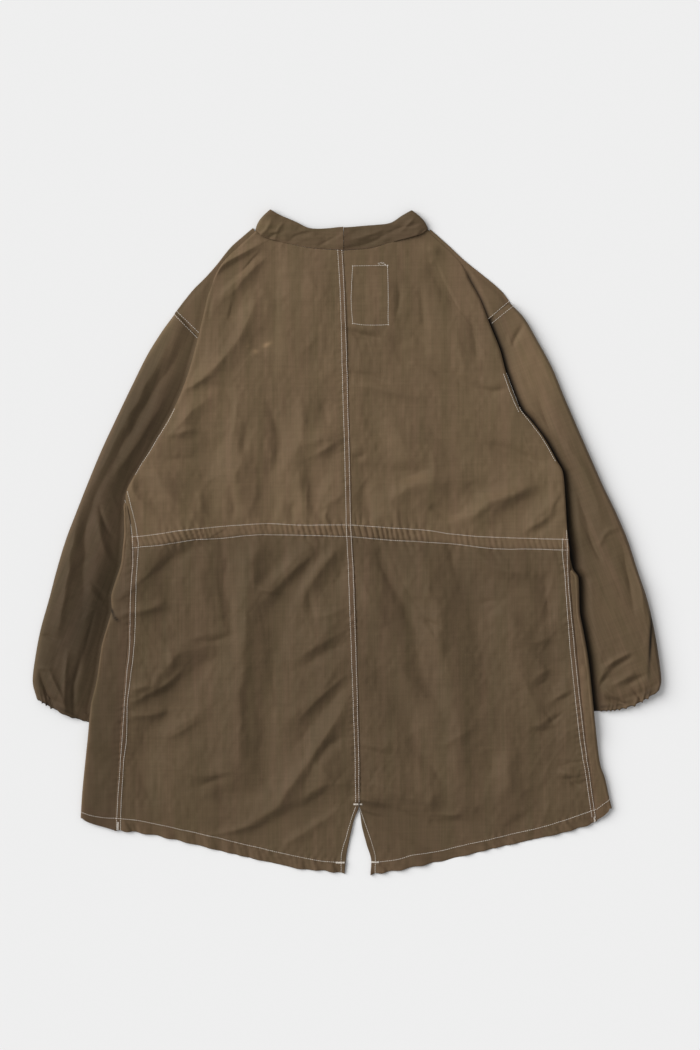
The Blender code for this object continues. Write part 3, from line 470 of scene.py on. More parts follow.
    (74, 366, 74, 341, 70, 315, 6, -2.3), (123, 125, 123, 102, 121, 78, 7.5, 1.7),
    (278, 30, 290, 46, 304, 62, 4, -1.6), (69, 51, 69, 38, 71, 24, 8.5, 2.6),
    (90, 296, 107, 282, 112, 258, 11, -2.2), (3, -375, 30, -385, 60, -395, 4, -3.6),
    (62, -399, 89, -410, 122, -426, 4, -3), (10, -365, 33, -366, 55, -375, 5, 2.6),
    (281, -179, 291, -173, 301, -168, 4, -2.2), (271, -204, 285, -196, 298, -189, 4, -2),
    (287, -256, 297, -250, 307, -241, 3.5, -2.2), (267, -266, 281, -268, 295, -264, 3.5, -2.4),
    (281, -241, 287, -247, 293, -256, 3.5, -1.8), (302, -317, 317, -314, 331, -312, 3.5, -2),
    (302, -337, 317, -335, 334, -332, 3.5, -2.2), (108, -109, 121, -116, 136, -124, 3.5, -2.4),
    (111, -122, 119, -131, 126, -142, 4, 2), (18, -291, 40, -297, 62, -305, 3.5, -1.8),
    (300, -224, 311, -220, 322, -214, 3.5, -1.6),
]
SLEEVE_CREASES = [
    (-251, 280, -315, 166, -362, 74, 14, 3.2), (-223, 290, -280, 202, -344, 91, 14, -4.6),
    (-341, 97, -368, 31, -376, -88, 13, -4.9), (-382, 38, -396, -47, -410, -125, 10, 4.1),
    (-254, 209, -291, 148, -329, 95, 8, 2.7), (-334, 67, -325, 45, -317, 24, 5, 2.7),
    (-351, 50, -341, 20, -320, -4, 4, -4.3), (-354, 34, -345, -4, -325, -43, 7, 3.5),
    (-337, -4, -327, -23, -321, -40, 4, -2.7), (-365, -67, -348, -84, -334, -101, 4, 3.5),
    (-362, -58, -346, -74, -334, -88, 3, -3), (-358, -97, -366, -132, -373, -160, 3, -1.6),
    (-346, -99, -355, -139, -365, -170, 3, -1.8), (-337, -139, -349, -182, -359, -227, 8, -4.7),
    (-437, -133, -426, -133, -415, -138, 3, -2.7), (-422, -182, -410, -210, -399, -236, 5, 4.3),
    (-436, -185, -427, -210, -416, -233, 6, -5.4), (-440, -180, -429, -179, -416, -180, 3, 2.2),
    (-376, -162, -386, -196, -388, -244, 6, -4.9), (-396, -156, -400, -196, -399, -239, 6, 3.5),
    (-361, -207, -368, -231, -372, -250, 5, 3.5), (-354, -160, -351, -189, -354, -217, 4, -3.2),
    (250, 307, 241, 293, 234, 278, 4, -3.5), (227, 297, 224, 284, 222, 270, 4, -1.9),
    (271, 204, 288, 159, 312, 111, 6, -3), (311, 114, 331, 60, 348, -9, 10, -4.1),
    (297, 159, 334, 102, 362, 31, 10, 2.7), (386, 21, 368, 14, 356, -7, 4, 2.2),
    (342, 14, 351, -9, 361, -28, 5, -2.4), (390, -9, 399, -54, 408, -99, 7, -3.2),
    (408, -26, 417, -68, 423, -114, 6, 2.4), (355, -187, 376, -170, 402, -156, 4, 4.6),
    (372, -182, 388, -172, 403, -163, 3, -4.1), (354, -213, 358, -192, 375, -178, 4, 4.3),
    (359, -227, 358, -207, 369, -190, 3, -4.1), (365, -209, 376, -216, 392, -223, 3, 3.2),
    (366, -219, 382, -226, 398, -230, 3, -4.3), (376, -203, 390, -195, 408, -185, 5, 4.1),
    (396, -202, 408, -196, 422, -190, 4, -4.6), (405, -209, 413, -219, 419, -229, 3, -3),
]
COLLAR_CREASES = [
    (-125, 433, -112, 444, -106, 457, 4, 2.6), (-115, 426, -104, 435, -89, 440, 4, -2.4),
    (-102, 429, -97, 443, -89, 454, 3, 1.8), (-109, 439, -97, 439, -85, 435, 3, 1.8),
    (-84, 425, -70, 435, -50, 439, 5, -2), (-78, 435, -60, 442, -36, 440, 4, 1.6),
    (-41, 419, -24, 429, -13, 435, 4, -1.6), (-3, 416, 36, 426, 55, 437, 6, -3),
    (7, 429, 36, 437, 53, 444, 5, 2.2), (55, 437, 75, 446, 98, 450, 5, -2.6),
    (64, 425, 87, 432, 109, 440, 5, 1.8), (75, 440, 87, 452, 95, 463, 4, 2),
    (101, 435, 109, 443, 118, 446, 4, -1.8),
]


def creases(points, table):
    """Height that a crease table adds at plan points."""
    relief = np.zeros(points.shape[:-1])
    for x0, y0, xm, ym, x1, y1, width, height, *more in table:
        lean = more[0] if more else 0.0
        path = sampled([(x0, y0), (xm, ym), (x1, y1)], np.linspace(0.0, 1.0, 13))
        reach = width * 5.0
        low = path.min(axis=0) - reach
        high = path.max(axis=0) + reach
        near = np.all((points > low) & (points < high), axis=-1)
        if not near.any():
            continue
        close = points[near]
        signed, run = along_path(close, path)
        length = np.linalg.norm(np.diff(path, axis=0), axis=1).sum()
        fade = np.sin(np.pi * (0.04 + 0.92 * np.clip(run / length, 0.0, 1.0))) ** 0.65
        wander = signed + 0.16 * width * noise(close[:, 0], close[:, 1], 21.0, 21.0, x0 * 0.1)
        fold = 0.62 / (1.0 + (wander / width) ** 2) ** 2 + 0.38 * np.exp(-1.5 * np.abs(wander) / width)
        ridge = bell((wander - np.sign(lean) * 1.9 * width) / (1.3 * width))
        relief[near] += height * fade * (fold - abs(lean) * ridge)
    return relief


print("creases:", len(BODY_CREASES), "on the body,", len(SLEEVE_CREASES), "on the sleeves,",
      len(COLLAR_CREASES), "on the collar")

# %% [markdown]
# ## The back's surface
#
# The waist casing is a flat band with a gathered cord channel, so it stands up between its stitch
# rows and puckers every few millimetres, with short gathers running out above and below it. The
# flat-felled seams are low bands beside the seam line, and the hem is a rolled turn-up that ropes
# slightly. All are distances from the same edge tables, added to the layer height.

# %% Height of the back
CASING_HALF = 8.3         # half the waist casing's width
CASING_RISE = 0.9         # height of its band
PUCKER_PITCH = 7.8        # one pucker of the casing
PUCKER = 2.3              # and its height
FELL = 7.5                # width of a felled seam
FELL_RISE = 0.45          # and its height
HEM_TURN = 16.0           # width of the hem's turn-up
HEM_RISE = 0.55           # and its height
HEM_PITCH = 27.0          # one wave of the hem
RIPPLE = 0.9              # how far the hem's edge waves out and in
COVER_DEPTH = 42.0        # how far in from its armhole fold the back lies over other cloth
SHOULDER_DROP = 2.4       # how far the back comes down to the shoulders' level
EDGE_RISE = 3.4           # how far the right edge stands up
EDGE_RAMP = 62.0          # width of the slope up to it
SWELL = 0.8               # height of the broad swells
CRUMPLE = 1.05            # strength of the crumple
FINE = 0.38               # height of the finest unevenness
NECK_LEVEL = {LEFT: 340.0, RIGHT: 378.0}      # the back comes down above here
BACK_SEED = {LEFT: 0.0, RIGHT: 11.0}
SOFT_FLOOR = 1.5          # a trough flattens out this far above the lowest height allowed

spots = np.linspace(0, 1, 15)
middle = {side: (sampled(CASING_TOP[side], spots) + sampled(CASING_LOW[side], spots)) / 2.0
          for side in (LEFT, RIGHT)}
CASING_PATH = np.vstack([middle[LEFT][::-1], middle[RIGHT][1:]])
HEM_PATH = {side: sampled(HEM[side], np.linspace(0, 1, 25))[::side] for side in (LEFT, RIGHT)}
BODY_EDGE = {LEFT: FOLD_EDGE[LEFT][4:13] + SIDE[LEFT][1:],       # what covers each sleeve
             RIGHT: FOLD_EDGE[RIGHT][5:18] + SIDE[RIGHT][1:]}
CENTRE_BACK = CB_UPPER + CB_LOWER


def casing_relief(points):
    """Band and puckers of the waist casing."""
    signed, run = along_path(points, CASING_PATH)
    off = np.abs(signed)
    band = CASING_RISE * (1.0 - smoothstep((off - CASING_HALF + 2.5) / 3.5))
    phase = (run + 0.3 * signed) / PUCKER_PITCH + 0.55 * noise_along(run, 37.0, 2.0)
    fold = pleats(phase) ** 0.6 - 0.7
    uneven = 0.75 + 0.7 * noise(run, signed, 21.0, 60.0, 4.0)
    inside = 1.0 - smoothstep((off - CASING_HALF + 1.0) / 3.0)
    slant = run + 0.35 * signed
    long_phase = slant / (PUCKER_PITCH * 1.6) + 0.8 * noise(run, signed, 30.0, 50.0, 6.0)
    reach = 7.0 + 5.0 * noise_along(run, 23.0, 8.0)
    gather = pleats(long_phase) - 0.6
    gather = gather * np.exp(-np.maximum(off - CASING_HALF, 0.0) / reach)
    dent = 0.35 * bell((off - CASING_HALF) / 1.5)
    return band + PUCKER * uneven * (fold * inside + 0.9 * gather * (1.0 - inside)) - dent


def felled(points, table, side):
    """Low band of a felled seam that lies on the given side of a seam, with its small puckers."""
    off = -beyond(points, table, side)
    band = smoothstep((off - 0.2) / 1.2) * (1.0 - smoothstep((off - FELL + 0.6) / 1.6))
    y = points[..., 1]
    slant = y + 0.35 * np.abs(off - FELL / 2)
    pucker = pleats(slant / 8.5 + 1.1 * noise_along(y, 31.0, 3.0)) - 0.6
    fade = np.exp(-(off - FELL / 2) ** 2 / 95.0)
    uneven = 0.25 + 1.0 * np.clip(0.5 + noise(y, off, 42.0, 30.0, 9.0), 0.0, 1.2)
    return FELL_RISE * band + 1.5 * pucker * fade * uneven


def hem_wave(run):
    """Phase of the hem's waves at a distance along it."""
    return run / HEM_PITCH + 0.7 * noise_along(run, 60.0, 5.0)


def hem_relief(points, side):
    """Turn-up of the hem, its roping and the ripples of its edge."""
    signed, run = along_path(points, HEM_PATH[side])
    off = np.abs(signed)
    turn = HEM_RISE * (1.0 - smoothstep((off - HEM_TURN + 0.5) / 2.0))
    groove = 0.4 * bell((off - HEM_TURN) / 1.6)
    ripple = np.sin(2 * np.pi * (hem_wave(run) + off / 46.0)) * bell(off / 13.0)
    rope = np.sin(2 * np.pi * (run / 9.5 + off / 15.0 + 0.5 * noise(run, off, 25.0, 40.0, 1.0)))
    inside = 1.0 - smoothstep((off - HEM_TURN) / 3.0)
    uneven = 0.6 + 0.9 * noise(run, off, 33.0, 60.0, 14.0)
    phase = run / 11.0 - off / 26.0 + 1.2 * noise_along(run, 29.0, 15.0)
    pucker = (pleats(phase) - 0.6) * bell((off - HEM_TURN) / 7.0)
    return turn - groove + 1.1 * ripple + uneven * (0.6 * rope * inside + 0.95 * pucker)


def hem_ripple(points, side):
    """How far the hem's edge waves out and in, fading away above the turn-up."""
    signed, run = along_path(points, HEM_PATH[side])
    deep = 0.7 + 0.8 * noise_along(run, 45.0, 12.0)
    return RIPPLE * deep * np.sin(2 * np.pi * hem_wave(run)) * bell(signed / 10.0)


def past_front_hem(points):
    """How far plan points lie below the front's hem, which is shorter than the back's."""
    line = np.array(FRONT_HEM[LEFT][::-1] + FRONT_HEM[RIGHT][1:], float)
    return np.interp(points[..., 0], line[:, 0], line[:, 1]) - points[..., 1]


def back_height(points, side):
    """Middle of the back, and of the front's strip beside it, at plan points."""
    x = points[..., 0]
    y = points[..., 1]
    swell = SWELL * (np.sin(x / 47.0 + 1.0) * np.cos(y / 71.0) + 0.5 * np.sin((x + 2 * y) / 90.0))
    past_hem = past_front_hem(points)
    drop = (TOP_LAYER - HEM_LAYER) * smoothstep((past_hem + 8.0) / HEM_RAMP)
    lift = body_lift(points)
    fine = casing_relief(points) + hem_relief(points, side)
    if side < 0:
        fine = fine + felled(points, CENTRE_BACK, RIGHT) * (beyond(points, CENTRE_BACK, RIGHT) < 0.5)
    fine = fine + np.where(y < 20.0, felled(points, SEAM[side], side), 0.0)
    calm = 1.0 - 0.6 * smoothstep((past_hem + 30.0) / 40.0)
    rough = CRUMPLE * crumple(x, y, BACK_SEED[side]) * calm + FINE * noise(x, y, 6.5, 9.5, 17.0)
    # Near the neck the back runs on into the shoulders, so it comes down to their level
    past_fold = np.maximum(beyond(points, FOLD_EDGE[LEFT], LEFT),
                           beyond(points, FOLD_EDGE[RIGHT], RIGHT))
    level = smoothstep((y - NECK_LEVEL[side]) / 25.0) * bell(past_fold / 30.0)
    drop = drop + SHOULDER_DROP * level
    # The right edge stands up like a soft fold, and throws its shade on what lies beside it
    up_edge = smoothstep((beyond(points, BODY_EDGE[RIGHT], RIGHT) + EDGE_RAMP) / EDGE_RAMP)
    drop = drop - EDGE_RISE * up_edge * smoothstep((300.0 - y) / 120.0) * smoothstep((y + 410.0) / 90.0)
    height = TOP_LAYER + lift - drop + swell * calm + rough + creases(points, BODY_CREASES) + fine
    covering = smoothstep((past_fold + COVER_DEPTH) / 9.0)
    least = FLOOR_LAYER + 1.2 + lift
    over = (SLEEVE_LAYER + 1.6) * covering * (1.0 - 0.3 * level)
    least = np.maximum(least, np.where(y > 0.0, over, 0.0)) - smoothstep((past_hem - 3.0) / 12.0)
    # Soft floor under the creases, so a deep trough flattens out instead of being cut off
    room = height - least
    soft = SOFT_FLOOR * np.exp(np.clip(room, -30.0, SOFT_FLOOR) / SOFT_FLOOR - 1.0)
    return least + np.where(room > SOFT_FLOOR, room, soft)


print("back height at the middle:", back_height(np.array([[0.0, 200.0]]), LEFT).round(2), "mm")

# %% [markdown]
# ## Sheets
#
# A sheet is one layer of cloth with its rims rolled under, so that from above every edge shows
# the soft round of a fold and from the side it has thickness. The grid is close, about two
# millimetres, because the creases are real form. Its UV map holds the cut piece's own
# coordinates in metres, across and along the warp, so weave and fading follow the cloth.

# %% Building a sheet
LOWEST = 0.15             # no cloth goes below this height
ROLL_STEPS = 5            # columns round a rolled rim
TUCK = 3.0                # how far it goes on under the sheet
SKIRT_PAINTED_SHADE = 0.745        # painted shade: the skirt reads darker than the yoke, as its threads face away from the light
HEM_TONE = 0.08           # the turned-up hem is a little lighter
RIM_TONE = 0.42           # and so are the rolled edges on the left, which face the light
# Soft lighter or darker spots: piece, x, y, half width, half height, turn in degrees, change
TONES = [
    ("back_left", -130, 270, 4, 3.4, 0, 0.7),
    ("back_left", -114, 280, 6, 3, 25, 0.85),
    ("back_left", -141, 278, 3, 2.4, 0, 0.3),
    ("sleeve_left", -248, 294, 45, 70, 0, 0.55),
    ("sleeve_left", -371, -111, 40, 110, -22, -0.3),
    ("sleeve_left", -427, -231, 7, 4, 15, -0.45),
    ("front_left", -314, 38, 16, 50, 0, 0.42),
    # Painted shade: a dark slit where the pocket's mouth opens on the left strip
    ("front_left", -333, -98, 1.8, 7.5, 24, -1),
    ("front_left", -327, -109, 5.5, 1.7, -42, -0.85),
    ("sleeve_right", 263, 258, 50, 110, 0, 0.5),
    # Painted shade: a dark line along a deep fold near the right sleeve's outer side, and a softer band
    # beside it
    ("sleeve_right", 430, -139, 2.4, 46, -3, -0.95),
    ("sleeve_right", 439, -146, 6, 50, -3, -0.25),
    ("sleeve_right", 427, -213, 9, 5, 30, -0.4),
    ("sleeve_right", 390, -229, 12, 2.5, 18, -0.45),
    ("sleeve_right", 359, -234, 16, 2, 5, -0.4),
    ("sleeve_left", -396, -241, 14, 2.5, -25, -0.35),
    ("collar_left", -121, 449, 20, 14, 0, 0.36),
]


def tone_at(name, points):
    """How light or dark the cloth reads: softly blended spots on the pieces they name, among them a stain
    and painted shade in a slit and a fold, with painted shade on the skirt and in crevices and gaps and a
    painted highlight on the left rims.
    """
    tone = np.ones(points.shape[:2])
    for piece, x, y, half_width, half_height, turn, change in TONES:
        if piece in name:
            a, b = turned(points[..., 0] - x, points[..., 1] - y, turn)
            tone += change * np.exp(-(a / half_width) ** 2 - (b / half_height) ** 2)
    if name == "sleeve_right_cloth":
        # Painted shade: the body stands high beside this sleeve, and the sleeve is darkened along its edge
        # where the deep crevice lies in shade
        off = np.clip(beyond(points, BODY_EDGE[RIGHT], RIGHT) - 1.0, 0.0, None)
        tone *= 1.0 - 0.68 * bell(off / 5.0) - 0.26 * bell(off / 17.0)
    # Painted highlight on the rolled rims on the left, which face the light
    for piece, edge in (("sleeve_left", [row[:2] for row in SLEEVE[LEFT]]), ("front_left", SIDE[LEFT])):
        if piece in name:
            tone *= 1.0 + RIM_TONE * bell(beyond(points, edge, LEFT) / 4.6)
    # Painted shade: the right corner is darkened along the back's fold, where the gap between them lies in
    # shade
    if name == "shoulder_right_cloth":
        off = np.clip(beyond(points, FOLD_EDGE[RIGHT], RIGHT) - 0.5, 0.0, None)
        tone *= 1.0 - 0.7 * bell(off / 3.5) * smoothstep((392.0 - points[..., 1]) / 20.0)
    # Painted shade darkens the skirt below the casing; the turned-up hem is a little lighter
    if "back" in name:
        below_casing = -along_path(points[..., :2], CASING_PATH)[0]
        below = np.where(points[..., 1] < 40.0, smoothstep(below_casing / 14.0), 0.0)
        tone *= 1.0 + (SKIRT_PAINTED_SHADE - 1.0) * below
        from_hem = along_path(points[..., :2], HEM_PATH[LEFT if "left" in name else RIGHT])[0]
        tone *= 1.0 + HEM_TONE * bell(from_hem / 15.0)
    return tone


def grade(count, strength):
    """Fractions from 0 to 1 whose steps are smaller near both ends."""
    even = np.linspace(0.0, 1.0, count + 1)
    return even - strength * np.sin(2 * np.pi * even)


def rolled(points, radius):
    """A grid carried on past its last column, round a roll and back in under the sheet."""
    end = points[:, -1]
    out = end[:, :2] - points[:, -2, :2]
    out = out / np.maximum(np.linalg.norm(out, axis=1), 1e-9)[:, None]
    radius = np.interp(np.linspace(0, 1, len(end)), np.linspace(0, 1, np.size(radius)), np.ravel(radius))
    columns = []
    for step in range(1, ROLL_STEPS + 1):
        angle = math.pi * step / ROLL_STEPS
        ahead = radius * math.sin(angle)
        height = end[:, 2] - radius * (1.0 - math.cos(angle))
        columns.append(raised(end[:, :2] + out * ahead[:, None], height))
    last = columns[-1].copy()
    last[:, :2] -= out * TUCK
    columns.append(last)
    return np.concatenate([points, np.stack(columns, axis=1)], axis=1)


def rolled_all(points, outer, inner=None, top=None, bottom=None):
    """A grid with rolls along the sides that are given a radius."""
    if bottom is not None:
        points = np.swapaxes(rolled(np.swapaxes(points, 0, 1), bottom), 0, 1)
    if top is not None:
        points = np.swapaxes(rolled(np.swapaxes(points, 0, 1)[:, ::-1], top)[:, ::-1], 0, 1)
    points = rolled(points, outer)
    if inner is not None:
        points = rolled(points[:, ::-1], inner)[:, ::-1]
    return points


def sheet_mesh(name, points, seam, warp=(0.0, 1.0), up=True):
    """A mesh over a grid of points in millimetres, facing up or down, with its UV map."""
    rows, columns = points.shape[:2]
    points[..., 2] = np.maximum(points[..., 2], LOWEST)
    index = np.arange(rows * columns).reshape(rows, columns)
    quads = np.stack([index[:-1, :-1], index[:-1, 1:], index[1:, 1:], index[1:, :-1]], axis=-1)
    quads = quads.reshape(-1, 4)
    first = points.reshape(-1, 3)[quads[len(quads) // 2]]
    faces_up = np.cross(first[1] - first[0], first[3] - first[0])[2] > 0
    if faces_up != up:
        quads = quads[:, ::-1]
    mesh = bpy.data.meshes.new(name)
    mesh.from_pydata((points.reshape(-1, 3) * MM).tolist(), [], quads.tolist())
    mesh.shade_smooth()
    plan = points[..., :2].reshape(-1, 2) * MM
    warp_x, warp_y = warp
    cut = np.column_stack([plan[:, 0] * warp_y - plan[:, 1] * warp_x, plan @ np.array(warp)])
    uv = mesh.uv_layers.new(name="cloth")
    corner = np.zeros(len(mesh.loops), np.int32)
    mesh.loops.foreach_get("vertex_index", corner)
    uv.data.foreach_set("uv", cut[corner].astype(np.float32).ravel())
    for label, values in (("seam", seam), ("tone", tone_at(name, points))):
        layer = mesh.attributes.new(label, 'FLOAT', 'POINT')
        layer.data.foreach_set("value", np.ascontiguousarray(values, np.float32).ravel())
    return placed_in_scene(name, mesh)


# %% [markdown]
# ## The back halves
#
# Each back half is one cut piece from the neck to the fishtail, so it is one sheet: a yoke, the
# casing and the skirt in the same columns. The seam attribute marks where the cloth is doubled,
# because worn seams fade and redden first.

# %% Back halves
BACK_COLUMNS = 225        # from the centre back to the side
UPPER_ROWS = 165          # above the casing
CASING_ROWS = 14
LOWER_ROWS = 190          # below it
TOP_ROLL = 0.3            # radius of the rim at the neck
HEM_ROLL = 1.1            # and at the hem
VENT_ROLL = 0.9           # and at the vent


def seam_mark(points, side):
    """0 on plain cloth and 1 where seams, casing and hem double it."""
    off = -beyond(points, CENTRE_BACK, RIGHT)
    centre = smoothstep((off + 1.0) / 1.5) * (1 - smoothstep((off - FELL) / 1.5)) if side < 0 else 0.0
    off = -beyond(points, SEAM[side], side)
    edge = (1 - smoothstep((off - FELL) / 1.5)) * (points[..., 1] < 10.0)
    casing = 1 - smoothstep((np.abs(along_path(points, CASING_PATH)[0]) - CASING_HALF) / 1.5)
    hem = 1 - smoothstep((np.abs(along_path(points, HEM_PATH[side])[0]) - HEM_TURN) / 1.5)
    return np.clip(centre + edge + 0.35 * casing + 0.4 * hem, 0.0, 1.0)


def back_sheet(name, side):
    """One back half with its rims rolled."""
    across = grade(BACK_COLUMNS, 0.11)
    upper_down = np.linspace(0.0, 1.0, UPPER_ROWS + 1)
    casing_down = np.linspace(0.0, 1.0, CASING_ROWS + 1)
    lower_down = np.linspace(0.0, 1.0, LOWER_ROWS + 1) ** 0.97
    fold = sampled(FOLD_EDGE[side], upper_down)
    seam = sampled(SEAM[side], lower_down)
    upper = patch(NECK[side], CASING_TOP[side], CB_UPPER, fold, across, upper_down)
    top_line = sampled(CASING_TOP[side], across)
    low_line = sampled(CASING_LOW[side], across)
    band = top_line[None] + (low_line - top_line)[None] * casing_down[:, None, None]
    lower = patch(CASING_LOW[side], HEM[side], CB_LOWER + VENT[side], seam, across, lower_down)
    plan = np.concatenate([upper[:-1], band[:-1], lower])
    # Draw the rims in by the roll's radius, so the outline stays on the edge tables
    folded = smoothstep((plan[:, -1, 1] - 5.0) / 40.0)
    rim = RAW_ROLL + (EDGE_ROLL - RAW_ROLL) * folded
    inset = np.clip(1.0 - (1.0 - across) * 24.0, 0.0, 1.0)
    plan[..., 0] -= side * rim[:, None] * inset[None]
    vent_rim = RAW_ROLL + (VENT_ROLL - RAW_ROLL) * smoothstep((-375.0 - plan[:, 0, 1]) / 20.0)
    plan[..., 0] += side * (vent_rim[:, None] + 0.1) * np.clip(1.0 - across * 30.0, 0.0, 1.0)[None]
    plan[..., 1] -= hem_ripple(plan, side)
    heights = back_height(plan, side)
    heights -= 1.1 * folded[:, None] * (1.0 - rounded((1.0 - across)[None] * 290.0 / 7.0))
    # The rolled rims take the seam mark of the row or column they turn from
    mark = np.pad(seam_mark(plan, side), ROLL_STEPS + 1, mode="edge")
    return sheet_mesh(name, rolled_all(raised(plan, heights), rim, vent_rim, TOP_ROLL, HEM_ROLL), mark)


back_left = back_sheet("back_left_cloth", LEFT)
back_right = back_sheet("back_right_cloth", RIGHT)
print("back halves:", len(back_left.data.polygons), "and", len(back_right.data.polygons), "quads")

# %% [markdown]
# ## The fronts
#
# Each front lies on the surface under the back, and its outer strip wraps round the side fold to
# the side seam, where it meets the back at the same height. Only that strip and the fold show, so
# the hidden part is left plain and its grid is wide.

# %% Fronts
FRONT_DOWN = 300          # rows from neck to hem
FLOOR_COLUMNS = 24        # on the surface
FOLD_COLUMNS = 9          # round the side fold
STRIP_COLUMNS = 14        # back in to the side seam


def front_sheet(name, side):
    """One front: along the surface, round the side fold and back in to the side seam."""
    top, hem, armpit = FRONT_TOP[side], FRONT_HEM[side], ARMPIT[side]
    armhole = np.array([row[2:] for row in SLEEVE[side][:OPEN_ROWS[side]]], float)
    armhole[:, 0] -= side * 0.6
    outer = np.vstack([top[-1:], armhole, armpit, SIDE[side]])
    across = np.linspace(0.0, 1.0, FLOOR_COLUMNS + 1)
    down = np.linspace(0.0, 1.0, FRONT_DOWN + 1)
    plan = patch(top, hem, [top[0], hem[0]], sampled(outer, down), across, down)
    edge = plan[:, -1]
    seam_here = edge_x(edge[:, 1], FOLD_EDGE[side] + SEAM[side]) + side * RAW_ROLL
    width = side * (edge[:, 0] - seam_here)
    shows = smoothstep((width - 2.0) / 4.0) * smoothstep((armpit[0][1] + 6.0 - edge[:, 1]) / 12.0)
    low = FLOOR_LAYER + body_lift(edge)
    high = back_height(edge, side)
    rise = (high - low) * shows
    bulge = np.maximum(rise / 2.0, 0.6)
    start = edge[:, 0] - side * bulge
    plan[..., 0] += (start - edge[:, 0])[:, None] * across[None] ** 6
    columns = [raised(plan, FLOOR_LAYER + body_lift(plan))]
    for angle in np.linspace(0.0, math.pi, FOLD_COLUMNS + 1)[1:]:
        x = start + side * bulge * math.sin(angle)
        z = low + rise / 2.0 * (1.0 - math.cos(angle))
        columns.append(np.column_stack([x, edge[:, 1], z])[:, None])
    reach = np.linspace(0.0, 1.0, STRIP_COLUMNS + 1)[1:]
    target = np.where(shows > 0.02, seam_here, start - side)
    x = start[:, None] + (target - start)[:, None] * reach[None]
    # Towards the hem the strip's rows slant down to meet the back's hem at the side seam
    waist_y, side_y = FRONT_WAIST[side][-1][1], SIDE[side][-1][1]
    down_skirt = np.clip((waist_y - edge[:, 1]) / (waist_y - side_y), 0.0, 1.0)
    slant = (SEAM[side][-1][1] - side_y) * down_skirt ** 4
    y = edge[:, 1:] + slant[:, None] * reach[None] ** 0.6
    strip = np.stack([x, y], axis=-1)
    strip[..., 1] -= hem_ripple(strip, side)
    z = back_height(strip, side)
    z = low[:, None] + 0.2 + (z - low[:, None] - 0.2) * shows[:, None]
    z -= 0.9 * (1.0 - rounded(np.abs(strip[..., 0] - edge[:, :1]) / 8.0)) * shows[:, None]
    columns.append(raised(strip, z))
    points = np.concatenate(columns, axis=1)
    # The fold's last column takes the strip's height, so the two join smoothly
    last = FLOOR_COLUMNS + FOLD_COLUMNS
    points[:, last, 2] = (points[:, last, 2] + points[:, last + 1, 2]) / 2.0
    mark = np.zeros(points.shape[:2])
    mark[:, -4:] = 0.5
    mark[-8:] = 0.8
    return sheet_mesh(name, points, mark, up=False)


front_left = front_sheet("front_left_cloth", LEFT)
front_right = front_sheet("front_right_cloth", RIGHT)
print("fronts:", len(front_left.data.polygons), "quads each")

# %% [markdown]
# ## The sleeves
#
# A sleeve is a tube pressed flat: a lower wall, the outer fold, an upper wall and the inner fold.
# Above the armpit its inner side is the armhole edge, hidden under the back. Elastic draws the
# wrist in, so deep gathers fan up the sleeve from a narrow casing and its mouth stays a little
# open.

# %% Sleeves
SLEEVE_ROWS = 250
LOWER_CELLS = 30          # across the lower wall
UPPER_CELLS = 130         # across the upper wall
FOLD_CELLS = 6            # round a fold
SLEEVE_PUFF = 7.2         # height of the upper wall over its layer
PUFF_RAMP = 24.0          # width of the slope up to it from the inner fold
PUFF_START = 4.0          # the slope starts this far out from the body's edge
FOLD_INSET = 1.2          # the walls end this far short of the folds
WRIST_CASING = 13.0       # how far the elastic sits from the mouth
GATHER = 1.5              # height of the gathers
GATHER_REACH = 10.0       # how far up the sleeve they go
MOUTH_HEIGHT = 2.2        # height of the mouth's middle
# The mouth is turned in by this much and squeezed to this share of its height
MOUTH_RINGS = ((0.9, 0.86), (4.0, 0.7), (11.0, 0.6))
CASING_MARK = 0.35        # seam mark on the wrist's casing
MARKED_ROWS = 16
# Per sleeve: warp from the wrist up, slope beside the body, roll at the outer fold, how much its
# outer side stands above the middle, spacing of the gathers, bulge of the mouth, random seed
SLEEVE_LOOK = {
    LEFT: ((0.37, 0.929), 30.0, 24.0, 0.0, 13.0, 4.0, 21.0),
    RIGHT: ((-0.37, 0.929), 15.0, 5.0, 3.2, 9.5, 10.0, 31.0),
}


